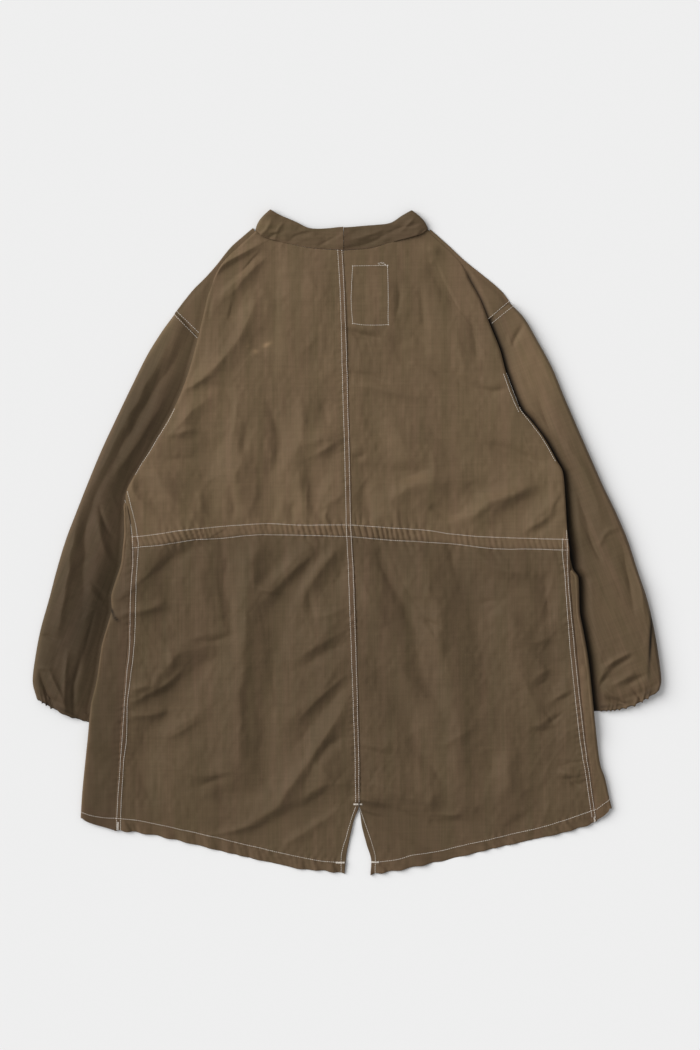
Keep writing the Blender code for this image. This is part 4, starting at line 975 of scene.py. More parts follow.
def sleeve_sheet(name, side):
    """One sleeve as a closed tube."""
    warp, ramp, outer_roll, tilt, gather_pitch, bulge, seed = SLEEVE_LOOK[side]
    down = np.linspace(0.0, 1.0, SLEEVE_ROWS + 1)
    down = down + 0.05 * np.sin(np.pi * down)
    pairs = sampled(SLEEVE[side], down)
    outer, inner = pairs[:, :2], pairs[:, 2:]
    steps = np.linalg.norm(np.diff(np.array(SLEEVE[side], float), axis=0), axis=1)
    armpit_at = steps[:OPEN_ROWS[side] - 1].sum() / steps.sum()
    closed = smoothstep((down - armpit_at) / 0.03)
    width = np.linalg.norm(inner - outer, axis=1)
    inward = (inner - outer) / width[:, None]
    down_arm = -np.array(warp)
    mean = (outer + inner) / 2.0
    along = np.concatenate([[0.0], np.cumsum(np.linalg.norm(np.diff(mean, axis=0), axis=1))])
    to_wrist = (along[-1] - along)[:, None]
    upper_t = grade(UPPER_CELLS, 0.1)
    lower_t = np.linspace(1.0, 0.0, LOWER_CELLS + 1)
    span = np.maximum(width - 2 * FOLD_INSET, 1.0)[:, None]
    upper_run = FOLD_INSET + upper_t[None] * span
    lower_run = FOLD_INSET + lower_t[None] * span
    wrist_out = bulge * smoothstep((60.0 - to_wrist) / 60.0)

    def plan_of(run):
        plan = outer[:, None] + inward[:, None] * run[..., None]
        return plan + (wrist_out * np.sin(np.pi * run / width[:, None]))[..., None] * down_arm

    upper_plan = plan_of(upper_run)
    lower_plan = plan_of(lower_run)
    past_body = beyond(upper_plan, BODY_EDGE[side], side)
    outside = smoothstep((past_body - PUFF_START) / ramp)
    dip = bell((past_body - 3.0) / 3.5)
    # The top stands like the side of a soft roll at the outer fold, and at the inner one too
    to_inner = rounded((width[:, None] - upper_run) / PUFF_RAMP)
    room = outside * rounded(upper_run / outer_roll) * np.where(closed[:, None] > 0.5, to_inner, 1.0)
    a, b = turned(upper_plan[..., 0], upper_plan[..., 1], math.degrees(math.atan2(-warp[0], warp[1])))
    lean = 2.0 * tilt * (1.0 - upper_run / width[:, None]) - tilt
    relief = SLEEVE_PUFF + lean + creases(upper_plan, SLEEVE_CREASES) + 1.1 * crumple(a, b, seed)
    relief = relief + 0.25 * noise(a, b, 6.5, 12.0, seed + 7)
    # Gathers: uneven ridges that run up the sleeve from the wrist and die out
    up_arm = np.broadcast_to(to_wrist, upper_run.shape)
    count_run = upper_run + 3.0 * noise(upper_run, up_arm, 40.0, 50.0, seed + 1)
    phase = count_run / gather_pitch + 1.3 * noise_along(upper_run, 33.0, seed + 2)
    deep = 0.65 + 0.5 * noise(upper_run, up_arm, 15.0, 90.0, seed + 3)
    reach = GATHER_REACH * (0.8 + 0.7 * noise_along(upper_run, 14.0, seed + 4))
    gather = (1.0 - 2.0 * pleats(phase) ** 0.75) * deep * np.exp(-to_wrist / reach)
    band = bell((to_wrist - WRIST_CASING) / 3.5)
    heights = SLEEVE_LAYER - dip + room * np.maximum(relief, 0.4)
    arch = np.sin(np.pi * np.clip(upper_run / width[:, None], 0, 1)) ** 0.5
    gathered = np.minimum(room + 0.25, 1.0) * arch
    heights = heights + gathered * (GATHER * gather - 1.3 * band)
    heights = np.maximum(heights, FLOOR_LAYER + 0.9)
    mouth = 1.0 - smoothstep(to_wrist / 22.0)
    heights = heights - 1.6 * mouth * gathered
    lower_gather = (1.0 - pleats(lower_run / 9.0)) * np.exp(-to_wrist / 18.0)
    lower_heights = FLOOR_LAYER + 0.9 * lower_gather * np.sin(np.pi * lower_run / width[:, None])
    # Scalloped mouth: each gather pushes the last rows out a little
    push = 2.9 * (gather + 0.25) * np.exp(-to_wrist / 7.0) * gathered
    upper_plan = upper_plan + push[..., None] * down_arm
    upper = raised(upper_plan, heights)
    lower = raised(lower_plan, lower_heights)

    def fold(start, end, run_at):
        """Columns round a fold, from one wall to the other."""
        for step in range(1, FOLD_CELLS):
            angle = math.pi * step / FOLD_CELLS
            z = start[:, 2] + (end[:, 2] - start[:, 2]) * (1 - math.cos(angle)) / 2
            yield raised(outer + inward * run_at(math.sin(angle)), z)[:, None]

    columns = [lower, *fold(lower[:, -1], upper[:, 0], lambda out: FOLD_INSET * (1.0 - out)), upper]
    columns.extend(fold(upper[:, -1], lower[:, 0], lambda out: (
        width - FOLD_INSET + FOLD_INSET * out * closed - (1 - closed) * 0.4)[:, None]))
    # The tube stays open along its underarm seam, where its first and last columns meet
    columns.append(lower[:, :1])
    points = np.concatenate(columns, axis=1)
    # Turn the mouth in: the last rows run back up inside the tube
    inside = points[-1].copy()
    rings = [points]
    for inset, squeeze in MOUTH_RINGS:
        ring = inside.copy()
        ring[:, :2] -= down_arm * inset
        ring[:, 2] = MOUTH_HEIGHT + (inside[:, 2] - MOUTH_HEIGHT) * squeeze
        rings.append(ring[None])
    points = np.concatenate(rings)
    mark = np.zeros(points.shape[:2])
    mark[-MARKED_ROWS:] = CASING_MARK
    return sheet_mesh(name, points, mark, warp, up=False)


sleeve_left = sleeve_sheet("sleeve_left_cloth", LEFT)
sleeve_right = sleeve_sheet("sleeve_right_cloth", RIGHT)
print("sleeves:", len(sleeve_left.data.polygons), "quads each")

# %% [markdown]
# ## Shoulder corners and collar
#
# The back's corners run on past its shoulder folds, round the garment's edge and in under the
# back. The stand collar lies pressed over: its back half shows, its front half lies below and
# comes round the side folds. Its top edge is a pressed fold, so it is rolled like the others.

# %% Corners and collar
CORNER_RISE = {LEFT: 1.2, RIGHT: 3.0}         # how far a shoulder corner stands up
TOPS_MEET = 1.4           # shifts the tops of the collar halves to the same height
CORNER_ROWS, CORNER_COLUMNS = 70, 34
COLLAR_COLUMNS, COLLAR_ROWS = 90, 30
COLLAR_FOLD = 8           # rows round the collar's side fold


def corner_sheet(name, side):
    """A shoulder corner of the back, rolled at the garment's edge."""
    down = np.linspace(0.0, 1.0, CORNER_ROWS)
    blend = smoothstep((down - 0.85) / 0.15)[:, None]
    head = np.array(SLEEVE[side][0], float)
    outer = sampled(SHOULDER[side], down)
    inner = sampled(CORNER_INNER[side], down)
    outer += (head[:2] - outer[-1]) * blend
    inner += (head[2:] - inner[-1]) * blend
    across = np.linspace(0.0, 1.0, CORNER_COLUMNS)
    plan = inner[:, None] + (outer - inner)[:, None] * across[None, :, None]
    from_edge = (1.0 - across)[None] * np.linalg.norm(outer - inner, axis=1)[:, None]
    height = SLEEVE_LAYER + CORNER_RISE[side] * rounded(from_edge / 16.0) * smoothstep(from_edge / 9.0)
    covered = smoothstep((beyond(plan, FOLD_EDGE[side], side) - 2.0) / 9.0)
    rough = 0.4 * crumple(plan[..., 0], plan[..., 1], 41.0)
    height = SLEEVE_LAYER + (height - SLEEVE_LAYER + rough) * covered
    points = rolled_all(raised(plan, height), (SLEEVE_LAYER - FLOOR_LAYER) / 2.0)
    return sheet_mesh(name, points, np.zeros(points.shape[:2]))


def collar_sheet(name, side):
    """One collar half: the back lying on top, the side fold, and the front below it."""
    fraction = np.linspace(0.0, 1.0, COLLAR_COLUMNS)
    rise = np.linspace(0.0, 1.0, COLLAR_ROWS)
    back_neck = sampled(NECK[side], fraction)
    back_top = sampled(COLLAR_TOP[side], fraction)
    back_top[:, 1] -= side * TOPS_MEET * bell(back_top[:, 0] / 22.0)
    plan = back_neck[:, None] + (back_top - back_neck)[:, None] * rise[None, :, None]
    across = fraction[:, None]
    x, y = plan[..., 0], plan[..., 1]
    height = TOP_LAYER + 0.6 + 1.6 * np.sin(np.pi * rise)[None] ** 0.8
    height = height + creases(plan, COLLAR_CREASES) + 1.9 * crumple(x, y, 51.0 + side)
    height = height + 0.5 * noise(x, y, 9.0, 5.0, 5.0) + 1.4 * smoothstep((across - 0.75) / 0.25)
    height = height - 1.5 * (1.0 - rounded((1.0 - across) * 120.0 / 9.0))
    plan[..., 0] += side * 0.2 * np.clip(1.0 - across * 20.0, 0.0, 1.0)
    plan[..., 0] += side * 4.0 * np.sin(np.pi * rise)[None] * across ** 6
    upper = raised(plan, height)
    low_neck = sampled(COLLAR_FRONT_NECK[side], fraction)
    low_top = sampled(COLLAR_FRONT_TOP[side], fraction)
    plan = low_neck[:, None] + (low_top - low_neck)[:, None] * rise[None, :, None]
    lower = raised(plan, np.full(plan.shape[:2], FLOOR_LAYER))
    columns = [upper]
    edge = upper[-1]
    drop = edge[:, 2] - FLOOR_LAYER
    for step in range(1, COLLAR_FOLD):
        angle = math.pi * step / COLLAR_FOLD
        ring = edge.copy()
        ring[:, 0] += side * 1.2 * math.sin(angle)
        ring[:, 2] = edge[:, 2] - drop * (1.0 - math.cos(angle)) / 2.0
        columns.append(ring[None])
    columns.append(lower)
    points = np.concatenate(columns, axis=0)
    # Roll the top edge, which is the last column: wide on the back, narrow on the front
    radius = np.repeat([0.9, 0.6, 0.25], [COLLAR_COLUMNS, COLLAR_FOLD - 1, COLLAR_COLUMNS])
    points = rolled_all(points, radius)
    mark = np.zeros(points.shape[:2])
    mark[:, :3] = 0.5
    mark[:8] = 0.6
    return sheet_mesh(name, points, mark, warp=(1.0, 0.0))


corner_left = corner_sheet("shoulder_left_cloth", LEFT)
corner_right = corner_sheet("shoulder_right_cloth", RIGHT)
collar_left = collar_sheet("collar_left_cloth", LEFT)
collar_right = collar_sheet("collar_right_cloth", RIGHT)
print("collar halves:", len(collar_left.data.polygons), "quads each")

# %% [markdown]
# ## The cloth's look
#
# The cloth is a worn olive-brown nylon and cotton: a close plain weave with a faint sheen, dyed
# unevenly along the warp so that greenish and reddish threads alternate in long fine streaks.
# A small node group makes those streaks and the weave's relief from the UV map, and every cloth
# material uses it, so the pieces differ only in a painted shade, for how each one's weave catches the
# light.

# %% Weave and streaks
THREAD_PITCH = 0.0006     # metres from thread to thread
WEAVE_DEPTH = 0.0002      # metres
RELIEF = 0.25             # strength of the weave's bump
SEAM_WEAR = 0.4           # how far worn seams turn to the redder dye


def node(tree, kind, x, y, inputs=None, **settings):
    """A node at a place in its tree, with settings and inputs that are values or linked sockets."""
    made = tree.nodes.new(kind)
    made.location = (x, y)
    for name, value in settings.items():
        setattr(made, name, value)
    for label, value in (inputs or {}).items():
        if isinstance(value, bpy.types.NodeSocket):
            tree.links.new(value, made.inputs[label])
        else:
            made.inputs[label].default_value = value
    return made


def math_node(tree, operation, x, y, *values):
    """The result of a Math node whose inputs are values or linked sockets."""
    return node(tree, 'ShaderNodeMath', x, y, dict(enumerate(values)), operation=operation).outputs[0]


def new_material(name):
    """A material with its node tree and its shader."""
    material = bpy.data.materials.new(name)
    material.use_nodes = True
    return material, material.node_tree, material.node_tree.nodes["Principled BSDF"]


def cloth_group():
    """Streaks and weave of the cloth from its UV map: outputs a hue mask, a shade and a normal."""
    tree = bpy.data.node_groups.new("warp_streaks", 'ShaderNodeTree')
    face = tree.interface
    face.new_socket("Coordinates", in_out='INPUT', socket_type='NodeSocketVector')
    for label, value in (("Thread pitch", THREAD_PITCH), ("Relief", RELIEF)):
        face.new_socket(label, in_out='INPUT', socket_type='NodeSocketFloat').default_value = value
    for label, kind in (("Hue", 'Float'), ("Shade", 'Float'), ("Normal", 'Vector')):
        face.new_socket(label, in_out='OUTPUT', socket_type='NodeSocket' + kind)
    source = node(tree, 'NodeGroupInput', -1200, 0)
    place = source.outputs["Coordinates"]

    def streak(across, along, detail, x, y):
        """Noise drawn out along the warp: cells per metre across and along."""
        scale = node(tree, 'ShaderNodeVectorMath', x, y, {0: place, 1: (across, along, 1.0)},
                     operation='MULTIPLY')
        return node(tree, 'ShaderNodeTexNoise', x + 200, y, {
            "Vector": scale.outputs[0], "Scale": 1.0, "Detail": detail, "Roughness": 0.6}).outputs["Fac"]

    wide = streak(55.0, 4.0, 3.0, -1000, 400)
    thin = streak(520.0, 13.0, 2.0, -1000, 150)
    weft = streak(14.0, 300.0, 2.0, -1000, -100)
    cloud = streak(11.0, 8.0, 3.0, -1000, -350)
    hue = math_node(tree, 'MULTIPLY_ADD', -400, 400, wide, 0.95, -0.15)
    hue = math_node(tree, 'ADD', -200, 400, hue, math_node(tree, 'MULTIPLY', -400, 250, thin, 0.35))
    shade = math_node(tree, 'MULTIPLY', -600, 50, wide, 0.40)
    for step, (mask, weight) in enumerate(((thin, 0.32), (weft, 0.22), (cloud, 0.35))):
        part = math_node(tree, 'MULTIPLY', -600, -50 - 100 * step, mask, weight)
        shade = math_node(tree, 'ADD', -400 + 180 * step, 50 - 30 * step, shade, part)
    shade = math_node(tree, 'SUBTRACT', 150, 0, shade, 0.65)
    # Plain weave: two sets of threads as crossed waves, with slubs from the thin streaks
    per_metre = math_node(tree, 'DIVIDE', -1000, -600, 1.0, source.outputs["Thread pitch"])
    split = node(tree, 'ShaderNodeSeparateXYZ', -1000, -750, {0: place})
    waves = []
    for axis in (0, 1):
        y = -600 - 150 * axis
        turns = math_node(tree, 'MULTIPLY', -800, y, split.outputs[axis], per_metre)
        angle = math_node(tree, 'MULTIPLY', -650, y, turns, 2.0 * math.pi)
        waves.append(math_node(tree, 'SINE', -500, y, angle))
    weave = math_node(tree, 'MULTIPLY', -350, -650, *waves)
    relief = math_node(tree, 'ADD', -200, -600, weave, math_node(tree, 'MULTIPLY', -350, -800, thin, 1.5))
    bump = node(tree, 'ShaderNodeBump', 200, -500, {
        "Distance": WEAVE_DEPTH, "Strength": source.outputs["Relief"], "Height": relief})
    node(tree, 'NodeGroupOutput', 600, 0, {"Hue": hue, "Shade": shade, "Normal": bump.outputs["Normal"]})
    return tree


STREAKS = cloth_group()


def cloth_material(name, green, red, shade):
    """Cloth mixed from a greener and a redder dye, lightened or darkened per piece by a painted shade for
    how its weave catches the light.
    """
    material, tree, shader = new_material(name)
    place = node(tree, 'ShaderNodeUVMap', -1100, 0, uv_map="cloth")
    streaks = node(tree, 'ShaderNodeGroup', -850, 0, {
        "Coordinates": place.outputs["UV"], "Thread pitch": THREAD_PITCH, "Relief": RELIEF},
        node_tree=STREAKS)
    mix = node(tree, 'ShaderNodeMix', -550, 150, {
        "Factor": streaks.outputs["Hue"], "A": (*green, 1.0), "B": (*red, 1.0)}, data_type='RGBA')
    seam = node(tree, 'ShaderNodeAttribute', -850, -250, attribute_name="seam").outputs["Fac"]
    worn = node(tree, 'ShaderNodeMix', -350, 100, {
        "Factor": math_node(tree, 'MULTIPLY', -600, -250, seam, SEAM_WEAR), "A": mix.outputs["Result"],
        "B": (red[0] * 1.02, red[1] * 0.98, red[2] * 0.98, 1.0)}, data_type='RGBA')
    tone = node(tree, 'ShaderNodeAttribute', -850, -400, attribute_name="tone").outputs["Fac"]
    value = math_node(tree, 'ADD', -500, -150, streaks.outputs["Shade"], 1.0)
    value = math_node(tree, 'MULTIPLY', -350, -150, value, shade)
    value = math_node(tree, 'MULTIPLY', -200, -250, value, tone)
    colour = node(tree, 'ShaderNodeVectorMath', -100, 50, {0: worn.outputs["Result"], "Scale": value},
                  operation='SCALE')
    tree.links.new(colour.outputs[0], shader.inputs["Base Color"])
    tree.links.new(streaks.outputs["Normal"], shader.inputs["Normal"])
    shader.inputs["Roughness"].default_value = 0.62
    shader.inputs["Sheen Weight"].default_value = 0.06
    shader.inputs["Sheen Roughness"].default_value = 0.4
    shader.inputs["Specular IOR Level"].default_value = 0.12
    return material


GREEN = (0.1192, 0.0880, 0.0414)
RED = (0.1417, 0.0862, 0.0532)
# Painted shade per piece: some pieces are darker, as their weave catches the light at another angle
PAINTED_PIECE_SHADE = {
    "back_left_cloth": 1.0, "back_right_cloth": 0.97, "front_left_cloth": 0.59,
    "front_right_cloth": 0.93, "sleeve_left_cloth": 0.56, "sleeve_right_cloth": 0.80,
    "shoulder_left_cloth": 0.92, "shoulder_right_cloth": 0.95, "collar_left_cloth": 0.84,
    "collar_right_cloth": 0.68,
}
PIECES = {
    "back_left": back_left, "back_right": back_right, "front_left": front_left,
    "front_right": front_right, "sleeve_left": sleeve_left, "sleeve_right": sleeve_right,
    "back_left_shoulder": corner_left, "back_right_shoulder": corner_right,
    "collar_left": collar_left, "collar_right": collar_right,
}
for cad_node, piece in PIECES.items():
    piece.data.materials.append(cloth_material(piece.name, GREEN, RED, PAINTED_PIECE_SHADE[piece.name]))
    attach(piece, "root")
    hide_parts(cad_node)
print("cloth materials:", len(PAINTED_PIECE_SHADE))

# %% [markdown]
# ## Stitching
#
# Every seam is topstitched in thick off-white thread, which is what draws the coat's lines. Each
# row is a path dropped onto the cloth, and Geometry Nodes set short spindle-shaped stitches along
# it at an even pitch, so the rows follow the puckers. The numbers are the rows' own, from a table.

# %% Stitch rows
STITCH_PITCH = 3.1        # from stitch to stitch
STITCH_LENGTH = 2.3
TACK_LENGTH = 2.6
THREAD = 0.33             # radius of the thread
TACK_PITCH = 0.75         # bartacks are the same stitches turned across a short path
STITCH_ABOVE = 0.22       # how far the middle of the thread lies above the cloth
TACK_ABOVE = 0.45
WANDER = 0.28             # how far a row strays from its line
SEED = 3
SOILED = (0.62, 0.54, 0.45, 1.0)
CLEAN = (0.86, 0.82, 0.76, 1.0)
ABOVE_ALL = 0.06          # metres: rows are dropped from here
START_HEIGHT = 0.006      # metres: for a row that starts just off the cloth
STITCH_ROWS = [
    ("back_left", [(-13.3, 413.2), (-10.6, 372), (-8.9, 336.5), (-7.1, 258.4), (-4.7, 173.2), (-2.3, 88),
     (-1, 24.1), (2.6, -54), (7.1, -181.8), (11.5, -309.6), (12.2, -367.8)]),
    ("back_left", [(-7.5, 413.2), (-5.1, 377.7), (-3.5, 336.5), (-0.7, 258.4), (1.6, 173.2), (3.8, 88),
     (5.1, 24.1), (9.2, -54), (13.3, -181.8), (16.5, -309.6), (16.9, -367.8)]),
    ("back_left", [(-309.6, 7.1), (-276.9, 9.9), (-240.7, 15.6), (-198.8, 19.9), (-160.5, 23.3),
     (-116.4, 26.1), (-73.8, 24.1), (5.7, 24.1)]),
    ("back_left", [(-316.7, -9.2), (-276.9, -5.7), (-252.8, -2.8), (-218.7, 2.8), (-179.6, 5),
     (-130.6, 9.9), (-82.4, 9.9), (5.7, 7.8)]),
    ("back_right", [(8.5, 24.1), (61.1, 19.9), (107.9, 17), (154.8, 10.6), (201.6, 7.1), (261.3, 5),
     (312.4, 3.5)]),
    ("back_right", [(8.5, 7.1), (61.1, 2.8), (107.9, 0), (154.8, -3.4), (213.7, -9.9), (261.3, -9.9),
     (312.4, -11.4)]),
    ("back_left", [(-311, 71), (-306.7, 54), (-301.8, 32.7), (-298.8, 19.9), (-296.8, 7.1), (-295.6, -9.9),
     (-298.2, -45.4), (-299.6, -99.4), (-301, -137.7), (-304.6, -174.7), (-311, -225.8), (-312.7, -279.7),
     (-316.7, -309.6), (-321.2, -391.9), (-321.2, -407.5)]),
    ("back_left", [(-314.5, 58.2), (-310.3, 41.2), (-306, 21.3), (-303.6, 2.8), (-303.3, -25.6),
     (-306.9, -86.6), (-308.1, -149.8), (-312.1, -187.4), (-316.9, -251.3), (-318.8, -279.7),
     (-321.3, -309.6), (-326.6, -391.9), (-326.7, -407.5)]),
    ("back_right", [(305, 4.3), (305.3, -15.6), (308.8, -48.3), (312.4, -103.7), (316.4, -151.9),
     (322.8, -213), (330.1, -279.7), (337.7, -325.2), (347.6, -389.8)]),
    ("back_right", [(311, 15.6), (311.8, -9.9), (313.3, -55.4), (317.5, -103.7), (322.2, -151.9),
     (328.6, -213), (336, -279.7), (342.5, -325.2), (352.2, -389.8)]),
    ("back_right", [(44.9, 395.3), (48.3, 396.3), (52, 395.8), (54.8, 393.5), (57.1, 391.4)]),
    ("back_right", [(46, 393.9), (50.3, 394.8), (53.7, 393.6)]),
    ("back_left", [(-244.9, 188.1), (-250.6, 176.8), (-260.3, 160.5), (-268.8, 147), (-280.2, 127.4),
     (-291.5, 110.3), (-299.6, 96.6)]),
    ("back_right", [(226.2, 238.6), (232.2, 222.9), (238.6, 206.6), (246.4, 187.4), (258.4, 171.1),
     (279, 143.4), (294.6, 115.7)]),
    ("back_right", [(222.4, 237.1), (228.3, 220.1), (235.4, 202.3), (243.1, 185.3)]),
    ("back_left", [(-326.6, -392.2), (-293.9, -395.5), (-233.6, -408.4), (-190.3, -418.2), (-129.2, -433.1),
     (-66.7, -447.3), (-38.3, -452.3), (-15.6, -454.8)]),
    ("back_right", [(44.9, -454.1), (72.4, -450.1), (92.3, -444.5), (132.1, -438.4), (160.5, -431.3),
     (186, -426), (235.7, -414.2), (276.9, -404.3), (313.3, -393.3), (343.1, -382.5), (352.2, -379.1)]),
    ("back_left", [(12.2, -376.3), (5.7, -394.8), (0, -415.3), (-7.4, -440.2), (-8.5, -468.6)]),
    ("back_right", [(18.3, -377.7), (24.6, -396.2), (33.2, -421.2), (39.8, -444.5), (39.8, -470)]),
    ("back_right", [(8.2, 391.2), (24.1, 391.6), (41.2, 391.9), (57.7, 392.3)]),
    ("back_right", [(57.7, 392.3), (58.1, 364.9), (58.4, 336.5), (58.5, 308.3)]),
    ("back_right", [(58.5, 308.3), (41.2, 307.3), (24.1, 307.6), (8.2, 310)]),
    ("back_right", [(8.2, 310), (6.1, 336.5), (6.5, 364.9), (8.2, 391.2)]),
    ("front_left", [(-377, -383.4), (-364.9, -387.7), (-353.6, -389.9), (-340.8, -391.4), (-328, -391.9)]),
    ("front_right", [(355, -378.3), (362.1, -372.9), (372, -365.4)]),
    ("back_left_shoulder", [(-241, 327), (-227.2, 313.8), (-211.2, 297.9)]),
    ("sleeve_left", [(-245.1, 322.9), (-230, 307.4), (-213.1, 290.2)]),
    ("back_right_shoulder", [(231.7, 342.9), (216.5, 330.1), (201.6, 317.8)]),
    ("sleeve_right", [(237.4, 335.8), (222.2, 324), (206.3, 311.3)]),
]
BARTACKS = [
    ("back_left", [(-324.6, -397.6), (-324.9, -402.6), (-325.2, -408.2)]),
    ("back_right", [(351, -389.8), (351.3, -393.3), (351.6, -396.9)]),
    ("back_left", [(9.7, -372), (12.8, -372), (15.9, -372)]),
    ("back_right", [(18.5, -372), (19.9, -372), (21.3, -372)]),
    ("back_left", [(-15.6, -454.8), (-9.9, -455), (-3.7, -454.8)]),
    ("back_right", [(34.6, -454.1), (39.8, -454.3), (44.9, -454.1)]),
]


def input_of(group, label):
    """Identifier of a node group's input, which is what a modifier's settings are named by."""
    return next(item.identifier for item in group.interface.items_tree
                if item.item_type == 'SOCKET' and item.in_out == 'INPUT' and item.name == label)


def stitch_group():
    """Geometry Nodes that set spindle-shaped stitches along the edges of a mesh."""
    tree = bpy.data.node_groups.new("stitch_rows", 'GeometryNodeTree')
    face = tree.interface
    face.new_socket("Geometry", in_out='INPUT', socket_type='NodeSocketGeometry')
    for label, value in (("Pitch", STITCH_PITCH * MM), ("Length", STITCH_LENGTH * MM),
                         ("Thread radius", THREAD * MM), ("Turn", 0.0)):
        face.new_socket(label, in_out='INPUT', socket_type='NodeSocketFloat').default_value = value
    face.new_socket("Seed", in_out='INPUT', socket_type='NodeSocketInt').default_value = SEED
    face.new_socket("Thread", in_out='INPUT', socket_type='NodeSocketMaterial')
    face.new_socket("Geometry", in_out='OUTPUT', socket_type='NodeSocketGeometry')
    source = node(tree, 'NodeGroupInput', -1100, 0).outputs
    curve = node(tree, 'GeometryNodeMeshToCurve', -900, 200, {"Mesh": source["Geometry"]})
    even = node(tree, 'GeometryNodeResampleCurve', -700, 200, {
        "Curve": curve.outputs["Curve"], "Length": source["Pitch"]}, mode='LENGTH')
    # One stitch: a short line, thin at both ends, given a round section
    half = math_node(tree, 'MULTIPLY', -900, -200, source["Length"], 0.5)
    back = math_node(tree, 'MULTIPLY', -750, -350, half, -1.0)
    low = node(tree, 'ShaderNodeCombineXYZ', -700, -250, {"X": back})
    high = node(tree, 'ShaderNodeCombineXYZ', -700, -100, {"X": half})
    line = node(tree, 'GeometryNodeCurvePrimitiveLine', -500, -150, {
        "Start": low.outputs[0], "End": high.outputs[0]})
    spots = node(tree, 'GeometryNodeResampleCurve', -300, -150, {
        "Curve": line.outputs["Curve"], "Count": 4})
    along = node(tree, 'GeometryNodeSplineParameter', -500, -350).outputs["Factor"]
    arch = math_node(tree, 'SINE', -200, -350, math_node(tree, 'MULTIPLY', -350, -350, along, math.pi))
    thick = math_node(tree, 'MULTIPLY_ADD', -50, -350, arch, 0.55, 0.5)
    profile = node(tree, 'GeometryNodeCurvePrimitiveCircle', -300, -500, {
        "Resolution": 5, "Radius": source["Thread radius"]})
    tube = node(tree, 'GeometryNodeCurveToMesh', 100, -150, {
        "Curve": spots.outputs["Curve"], "Profile Curve": profile.outputs["Curve"],
        "Scale": thick, "Fill Caps": True})
    # Stitches point along the row, with a little unevenness
    tangent = node(tree, 'GeometryNodeInputTangent', -500, 450)
    aim = node(tree, 'FunctionNodeAlignRotationToVector', -300, 450, {"Vector": tangent.outputs["Tangent"]},
               axis='X')
    jitter = node(tree, 'FunctionNodeRandomValue', -300, 650, {"Seed": source["Seed"]}, data_type='FLOAT')
    low_end, high_end = [socket for socket in jitter.inputs if socket.type == 'VALUE' and socket.enabled]
    low_end.default_value, high_end.default_value = -0.10, 0.10
    angle = next(socket for socket in jitter.outputs if socket.type == 'VALUE' and socket.enabled)
    spin = node(tree, 'ShaderNodeCombineXYZ', 0, 600, {
        "Z": math_node(tree, 'ADD', -100, 650, angle, source["Turn"])})
    euler = node(tree, 'FunctionNodeEulerToRotation', 50, 700, {0: spin.outputs[0]})
    turn = node(tree, 'FunctionNodeRotateRotation', 150, 450, {
        "Rotation": aim.outputs["Rotation"], "Rotate By": euler.outputs[0]}, rotation_space='LOCAL')
    place = node(tree, 'GeometryNodeInstanceOnPoints', 350, 200, {
        "Points": even.outputs["Curve"], "Instance": tube.outputs["Mesh"],
        "Rotation": turn.outputs["Rotation"]})
    real = node(tree, 'GeometryNodeRealizeInstances', 520, 200, {"Geometry": place.outputs["Instances"]})
    paint = node(tree, 'GeometryNodeSetMaterial', 680, 200, {
        "Geometry": real.outputs["Geometry"], "Material": source["Thread"]})
    node(tree, 'NodeGroupOutput', 900, 0, {"Geometry": paint.outputs["Geometry"]})
    return tree


def thread_material():
    """Off-white cotton thread, slightly soiled."""
    material, tree, shader = new_material("topstitch_thread")
    place = node(tree, 'ShaderNodeTexCoord', -700, 0)
    dirt = node(tree, 'ShaderNodeTexNoise', -500, 0, {
        "Vector": place.outputs["Object"], "Scale": 45.0, "Detail": 2.0})
    mix = node(tree, 'ShaderNodeMix', -250, 0, {
        "Factor": dirt.outputs["Fac"], "A": SOILED, "B": CLEAN}, data_type='RGBA')
    tree.links.new(mix.outputs["Result"], shader.inputs["Base Color"])
    shader.inputs["Roughness"].default_value = 0.7
    return material


STITCHES = stitch_group()
THREAD_LOOK = thread_material()


def surface_of(piece):
    """A tree of a piece's faces that paths can be dropped onto."""
    mesh = piece.data
    return BVHTree.FromPolygons([vertex.co for vertex in mesh.vertices],
                                [face.vertices[:] for face in mesh.polygons])


def dropped(surface, points, above):
    """Plan points in millimetres lowered onto a surface, and that much above it, in metres."""
    placed = []
    for x, y in points:
        hit = surface.ray_cast(Vector((x * MM, y * MM, ABOVE_ALL)), Vector((0.0, 0.0, -1.0)))[0]
        if hit is not None:
            height = hit.z
        else:
            height = placed[-1][2] - above * MM if placed else START_HEIGHT
        placed.append((x * MM, y * MM, height + above * MM))
    return placed


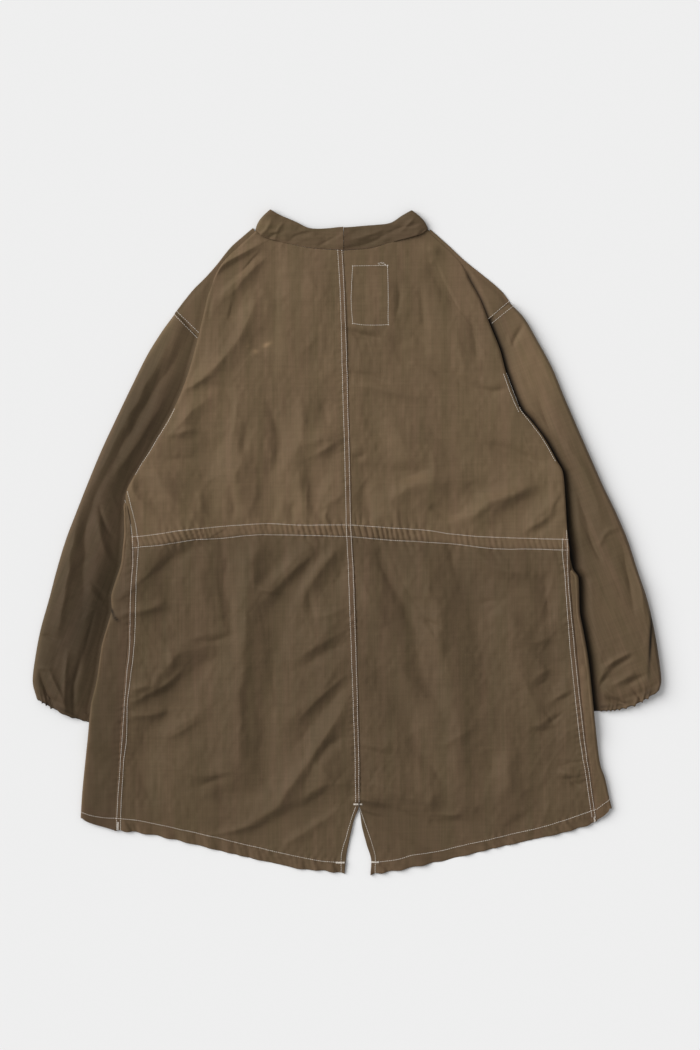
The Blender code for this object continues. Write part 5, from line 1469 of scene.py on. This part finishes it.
def stitched(name, piece, rows, pitch, length, turn, above):
    """An object with stitches along rows that lie on a piece."""
    surface = surface_of(piece)
    vertices = []
    edges = []
    for row in rows:
        total = np.linalg.norm(np.diff(np.array(row, float), axis=0), axis=1).sum()
        count = max(int(total / 1.5), 3)
        path = sampled(row, np.linspace(0.0, 1.0, count + 1))
        heading = np.gradient(path, axis=0)
        heading /= np.linalg.norm(heading, axis=1)[:, None]
        wander = WANDER * noise(path[:, 0] + path[:, 1], path[:, 1], 14.0, 14.0, 71.0)
        path = path + np.column_stack([-heading[:, 1], heading[:, 0]]) * (wander * (turn == 0.0))[:, None]
        placed = dropped(surface, path, above)
        first = len(vertices)
        vertices.extend(placed)
        edges.extend((first + k, first + k + 1) for k in range(len(placed) - 1))
    mesh = bpy.data.meshes.new(name)
    mesh.from_pydata(vertices, edges, [])
    made = placed_in_scene(name, mesh)
    modifier = made.modifiers.new("stitches", 'NODES')
    modifier.node_group = STITCHES
    for label, value in (("Pitch", pitch * MM), ("Length", length * MM), ("Thread radius", THREAD * MM),
                         ("Turn", turn), ("Seed", SEED), ("Thread", THREAD_LOOK)):
        modifier[input_of(STITCHES, label)] = value
    graph = bpy.context.evaluated_depsgraph_get()
    plain = bpy.data.meshes.new_from_object(made.evaluated_get(graph), depsgraph=graph)
    made.modifiers.remove(modifier)
    made.data = plain
    bpy.data.meshes.remove(mesh)
    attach(made, "root")
    return made


for cad_node, piece in PIECES.items():
    rows = [points for where, points in STITCH_ROWS if where == cad_node]
    tacks = [points for where, points in BARTACKS if where == cad_node]
    if rows:
        stitched("stitches_" + cad_node, piece, rows, STITCH_PITCH, STITCH_LENGTH, 0.0,
                             STITCH_ABOVE)
    if tacks:
        stitched("tacks_" + cad_node, piece, tacks, TACK_PITCH, TACK_LENGTH, math.pi / 2,
                             TACK_ABOVE)

# %% [markdown]
# ## Floor, light and camera
#
# The coat lies on a plain pale studio floor and is seen from straight above. A broad soft light
# from the upper left, with an even sky, gives the short soft shadows to the right and below.

# %% Studio
FLOOR_HALF = 6            # metres
SKY_STRENGTH = 0.47
SUN_STRENGTH = 3.3
SUN_ANGLE = 48            # degrees: wide, so the shadows are soft

floor_mesh = bpy.data.meshes.new("floor")
floor_corners = [(x * FLOOR_HALF, y * FLOOR_HALF, 0) for x, y in ((-1, -1), (1, -1), (1, 1), (-1, 1))]
floor_mesh.from_pydata(floor_corners, [], [(0, 1, 2, 3)])
floor = placed_in_scene("floor", floor_mesh)
floor_material, _, floor_shader = new_material("floor")
floor_shader.inputs["Base Color"].default_value = (0.80, 0.80, 0.80, 1.0)
floor_shader.inputs["Roughness"].default_value = 0.9
floor_shader.inputs["Specular IOR Level"].default_value = 0.0
floor_mesh.materials.append(floor_material)

world = bpy.data.worlds.new("studio")
bpy.context.scene.world = world
world.use_nodes = True
sky = world.node_tree.nodes["Background"]
sky.inputs["Color"].default_value = (1.0, 1.0, 1.0, 1.0)
sky.inputs["Strength"].default_value = SKY_STRENGTH

key_data = bpy.data.lights.new("key", 'SUN')
key_data.energy = SUN_STRENGTH
key_data.angle = math.radians(SUN_ANGLE)
key = placed_in_scene("key", key_data)
key.rotation_euler = Vector((-0.90, 0.42, 0.70)).to_track_quat('Z', 'Y').to_euler()

camera_data = bpy.data.cameras.new("camera")
camera_data.sensor_fit = 'VERTICAL'
camera_data.sensor_height = 36.0
camera_data.lens = 144.9
camera = placed_in_scene("camera", camera_data)
camera.location = (0.00426, 0.0241, 6.0)
bpy.context.scene.camera = camera
bpy.context.scene.view_settings.view_transform = 'Standard'
print("camera at", tuple(camera.location))

# %% [markdown]
# ## Cloth sizes
#
# Every piece is a sheet cut from a roll, so for each the flat rectangle it is cut from and the
# cut's own area are printed.

# %% Sheet sizes
FLAT = {
    "back_left": (0.42, 0.92), "back_right": (0.42, 0.92), "front_left": (0.42, 0.86),
    "front_right": (0.42, 0.86), "sleeve_left": (0.46, 0.64), "sleeve_right": (0.46, 0.64),
    "back_left_shoulder": (0.10, 0.19), "back_right_shoulder": (0.10, 0.19),
    "collar_left": (0.05, 0.27), "collar_right": (0.05, 0.27),
}
for cad_node, piece in PIECES.items():
    width, length = FLAT[cad_node]
    area = sum(face.area for face in piece.data.polygons)
    print(cad_node, "area", round(area, 4), "of", round(width * length, 4))
